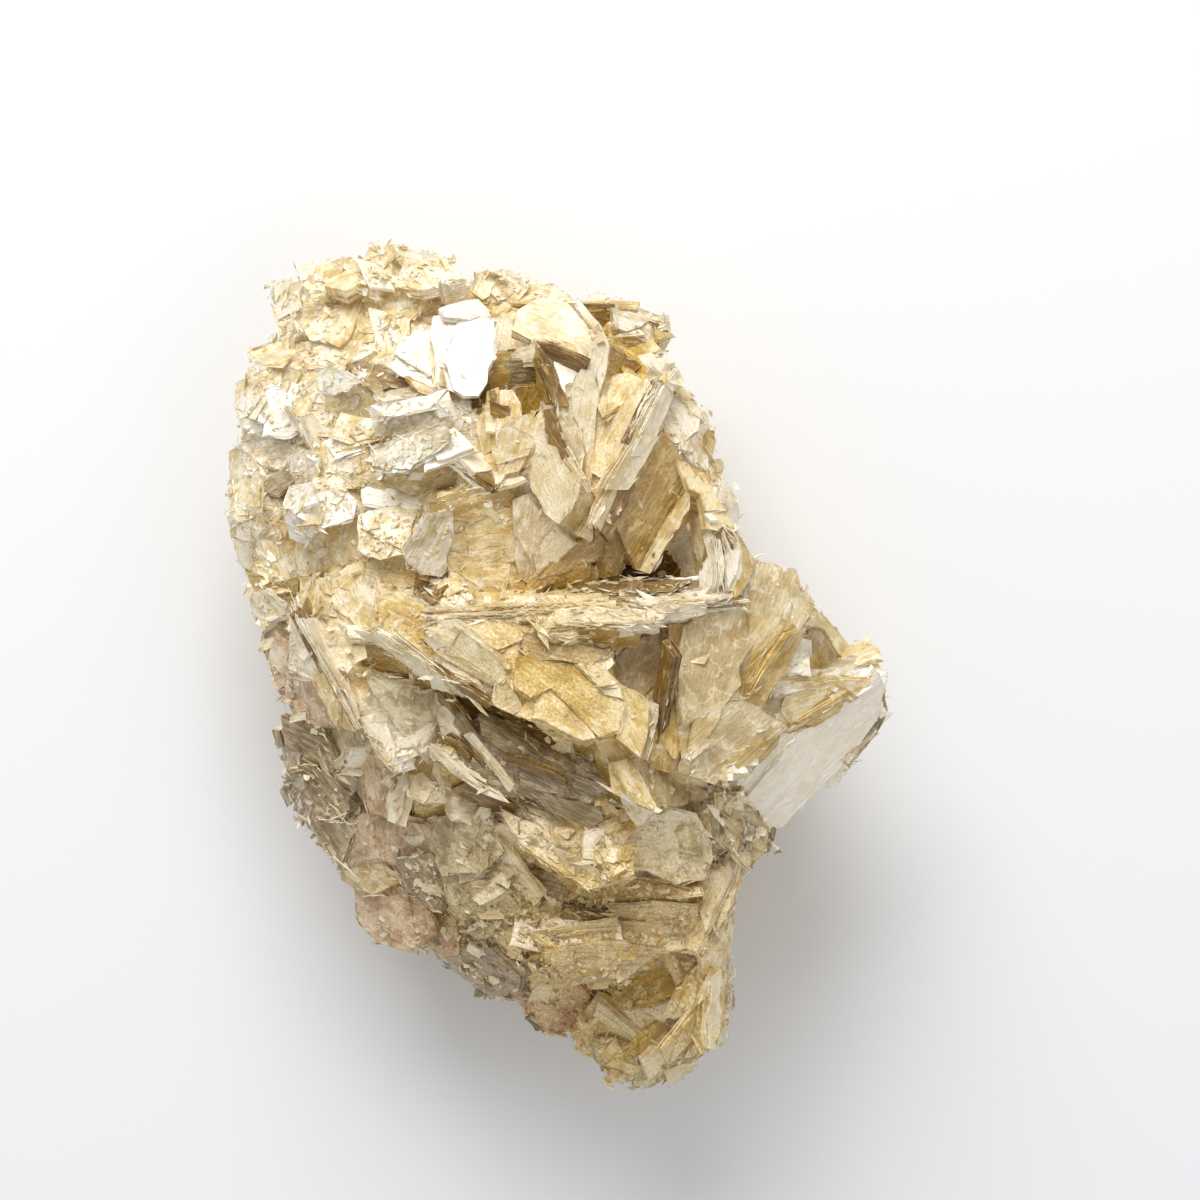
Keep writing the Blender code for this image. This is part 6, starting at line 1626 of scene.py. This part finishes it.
def strewFlakes(look):
    luck = np.random.default_rng(look["seed"])
    points, normals = settled(*scatterOn(look["count"], luck, look["keep"]), luck)
    count = len(points)
    zone = zoneOf(points, luck)
    normals = normals + luck.normal(0, look["lean"], (count, 3))
    low, high = look["length"]
    length = low + (high - low) * luck.random(count) ** 2
    width = length * luck.uniform(*look["share"], count)
    size = np.stack([length, width, luck.uniform(*look["thickness"], count)], -1)
    toneOf = np.array(zoneTones)[zone]
    toneOf[luck.random(count) < look["pale"]] = "pearl"
    shapes = []
    for tone in sorted(set(toneOf)):
        mine = toneOf == tone
        shapes.append(flakeShapes(points[mine], normals[mine], size[mine], str(tone), luck, look["corners"]))
    return shapes


heartParts = heartPoints()
planted.update(littleBooks=strewBooks(littleBooks), sideBooks=strewBooks(sideBooks))
planted.update(crumbs=strewFlakes(crumbs), splinters=strewFlakes(splinters), crushed=strewFlakes(crushed))
print("small pieces strewn")
everyPoint = [heartParts[1]] + [shape["points"] for shapes in planted.values() for shape in shapes]
tall = tallMap(np.concatenate(everyPoint))
dressHeart(*heartParts, tall)
for name, shapes in planted.items():
    showPiece(name, meshOf(name, shapes, tall))

# the camera looks down at the centre from this distance, over a frame this wide. Lengths here are in
# metres, but for the sensor, which is in millimetres
studio = dict(
    floor=(235, 236, 238), floorSize=3.0, floorRough=0.9, world=0.53,
    keyPower=5.15, keySize=0.5, keyFrom=(-0.12, 0.55, 0.50),
    fillPower=0.7, fillSize=0.6, fillFrom=(0.35, -0.30, 0.70),
    centre=(0.0060, 0.00867, 0.028), distance=0.70, frameWidth=0.160, sensor=36,
)


def lamp(name):
    data = bpy.data.lights.new(name, "AREA")
    data.energy, data.size = studio[name + "Power"], studio[name + "Size"]
    light = bpy.data.objects.new(name, data)
    light.location = studio[name + "From"]
    way = Vector(studio["centre"]) - light.location
    light.rotation_euler = way.to_track_quat("-Z", "Y").to_euler()
    bpy.context.scene.collection.objects.link(light)


def makeStudio():
    scene = bpy.context.scene
    mesh = bpy.data.meshes.new("floor")
    half = studio["floorSize"] / 2
    corners = [(-half, -half, 0), (half, -half, 0), (half, half, 0), (-half, half, 0)]
    mesh.from_pydata(corners, [], [(0, 1, 2, 3)])
    floor = bpy.data.objects.new("floor", mesh)
    scene.collection.objects.link(floor)
    paper = bpy.data.materials.new("paper")
    paper.use_nodes = True
    shader = paper.node_tree.nodes["Principled BSDF"]
    plain = {"Base Color": colour(*studio["floor"]), "Roughness": studio["floorRough"]}
    feed(paper.node_tree, shader, plain)
    mesh.materials.append(paper)
    world = bpy.data.worlds.new("studio")
    world.use_nodes = True
    sky = world.node_tree.nodes["Background"]
    feed(world.node_tree, sky, {"Color": (1, 1, 1, 1), "Strength": studio["world"]})
    scene.world = world
    lamp("key")
    lamp("fill")
    data = bpy.data.cameras.new("camera")
    data.sensor_width = studio["sensor"]
    data.lens = studio["sensor"] * studio["distance"] / studio["frameWidth"]
    camera = bpy.data.objects.new("camera", data)
    x, y, z = studio["centre"]
    camera.location = (x, y, z + studio["distance"])
    scene.collection.objects.link(camera)
    scene.camera = camera
    scene.view_settings.view_transform = "Standard"


makeStudio()
print("studio made")
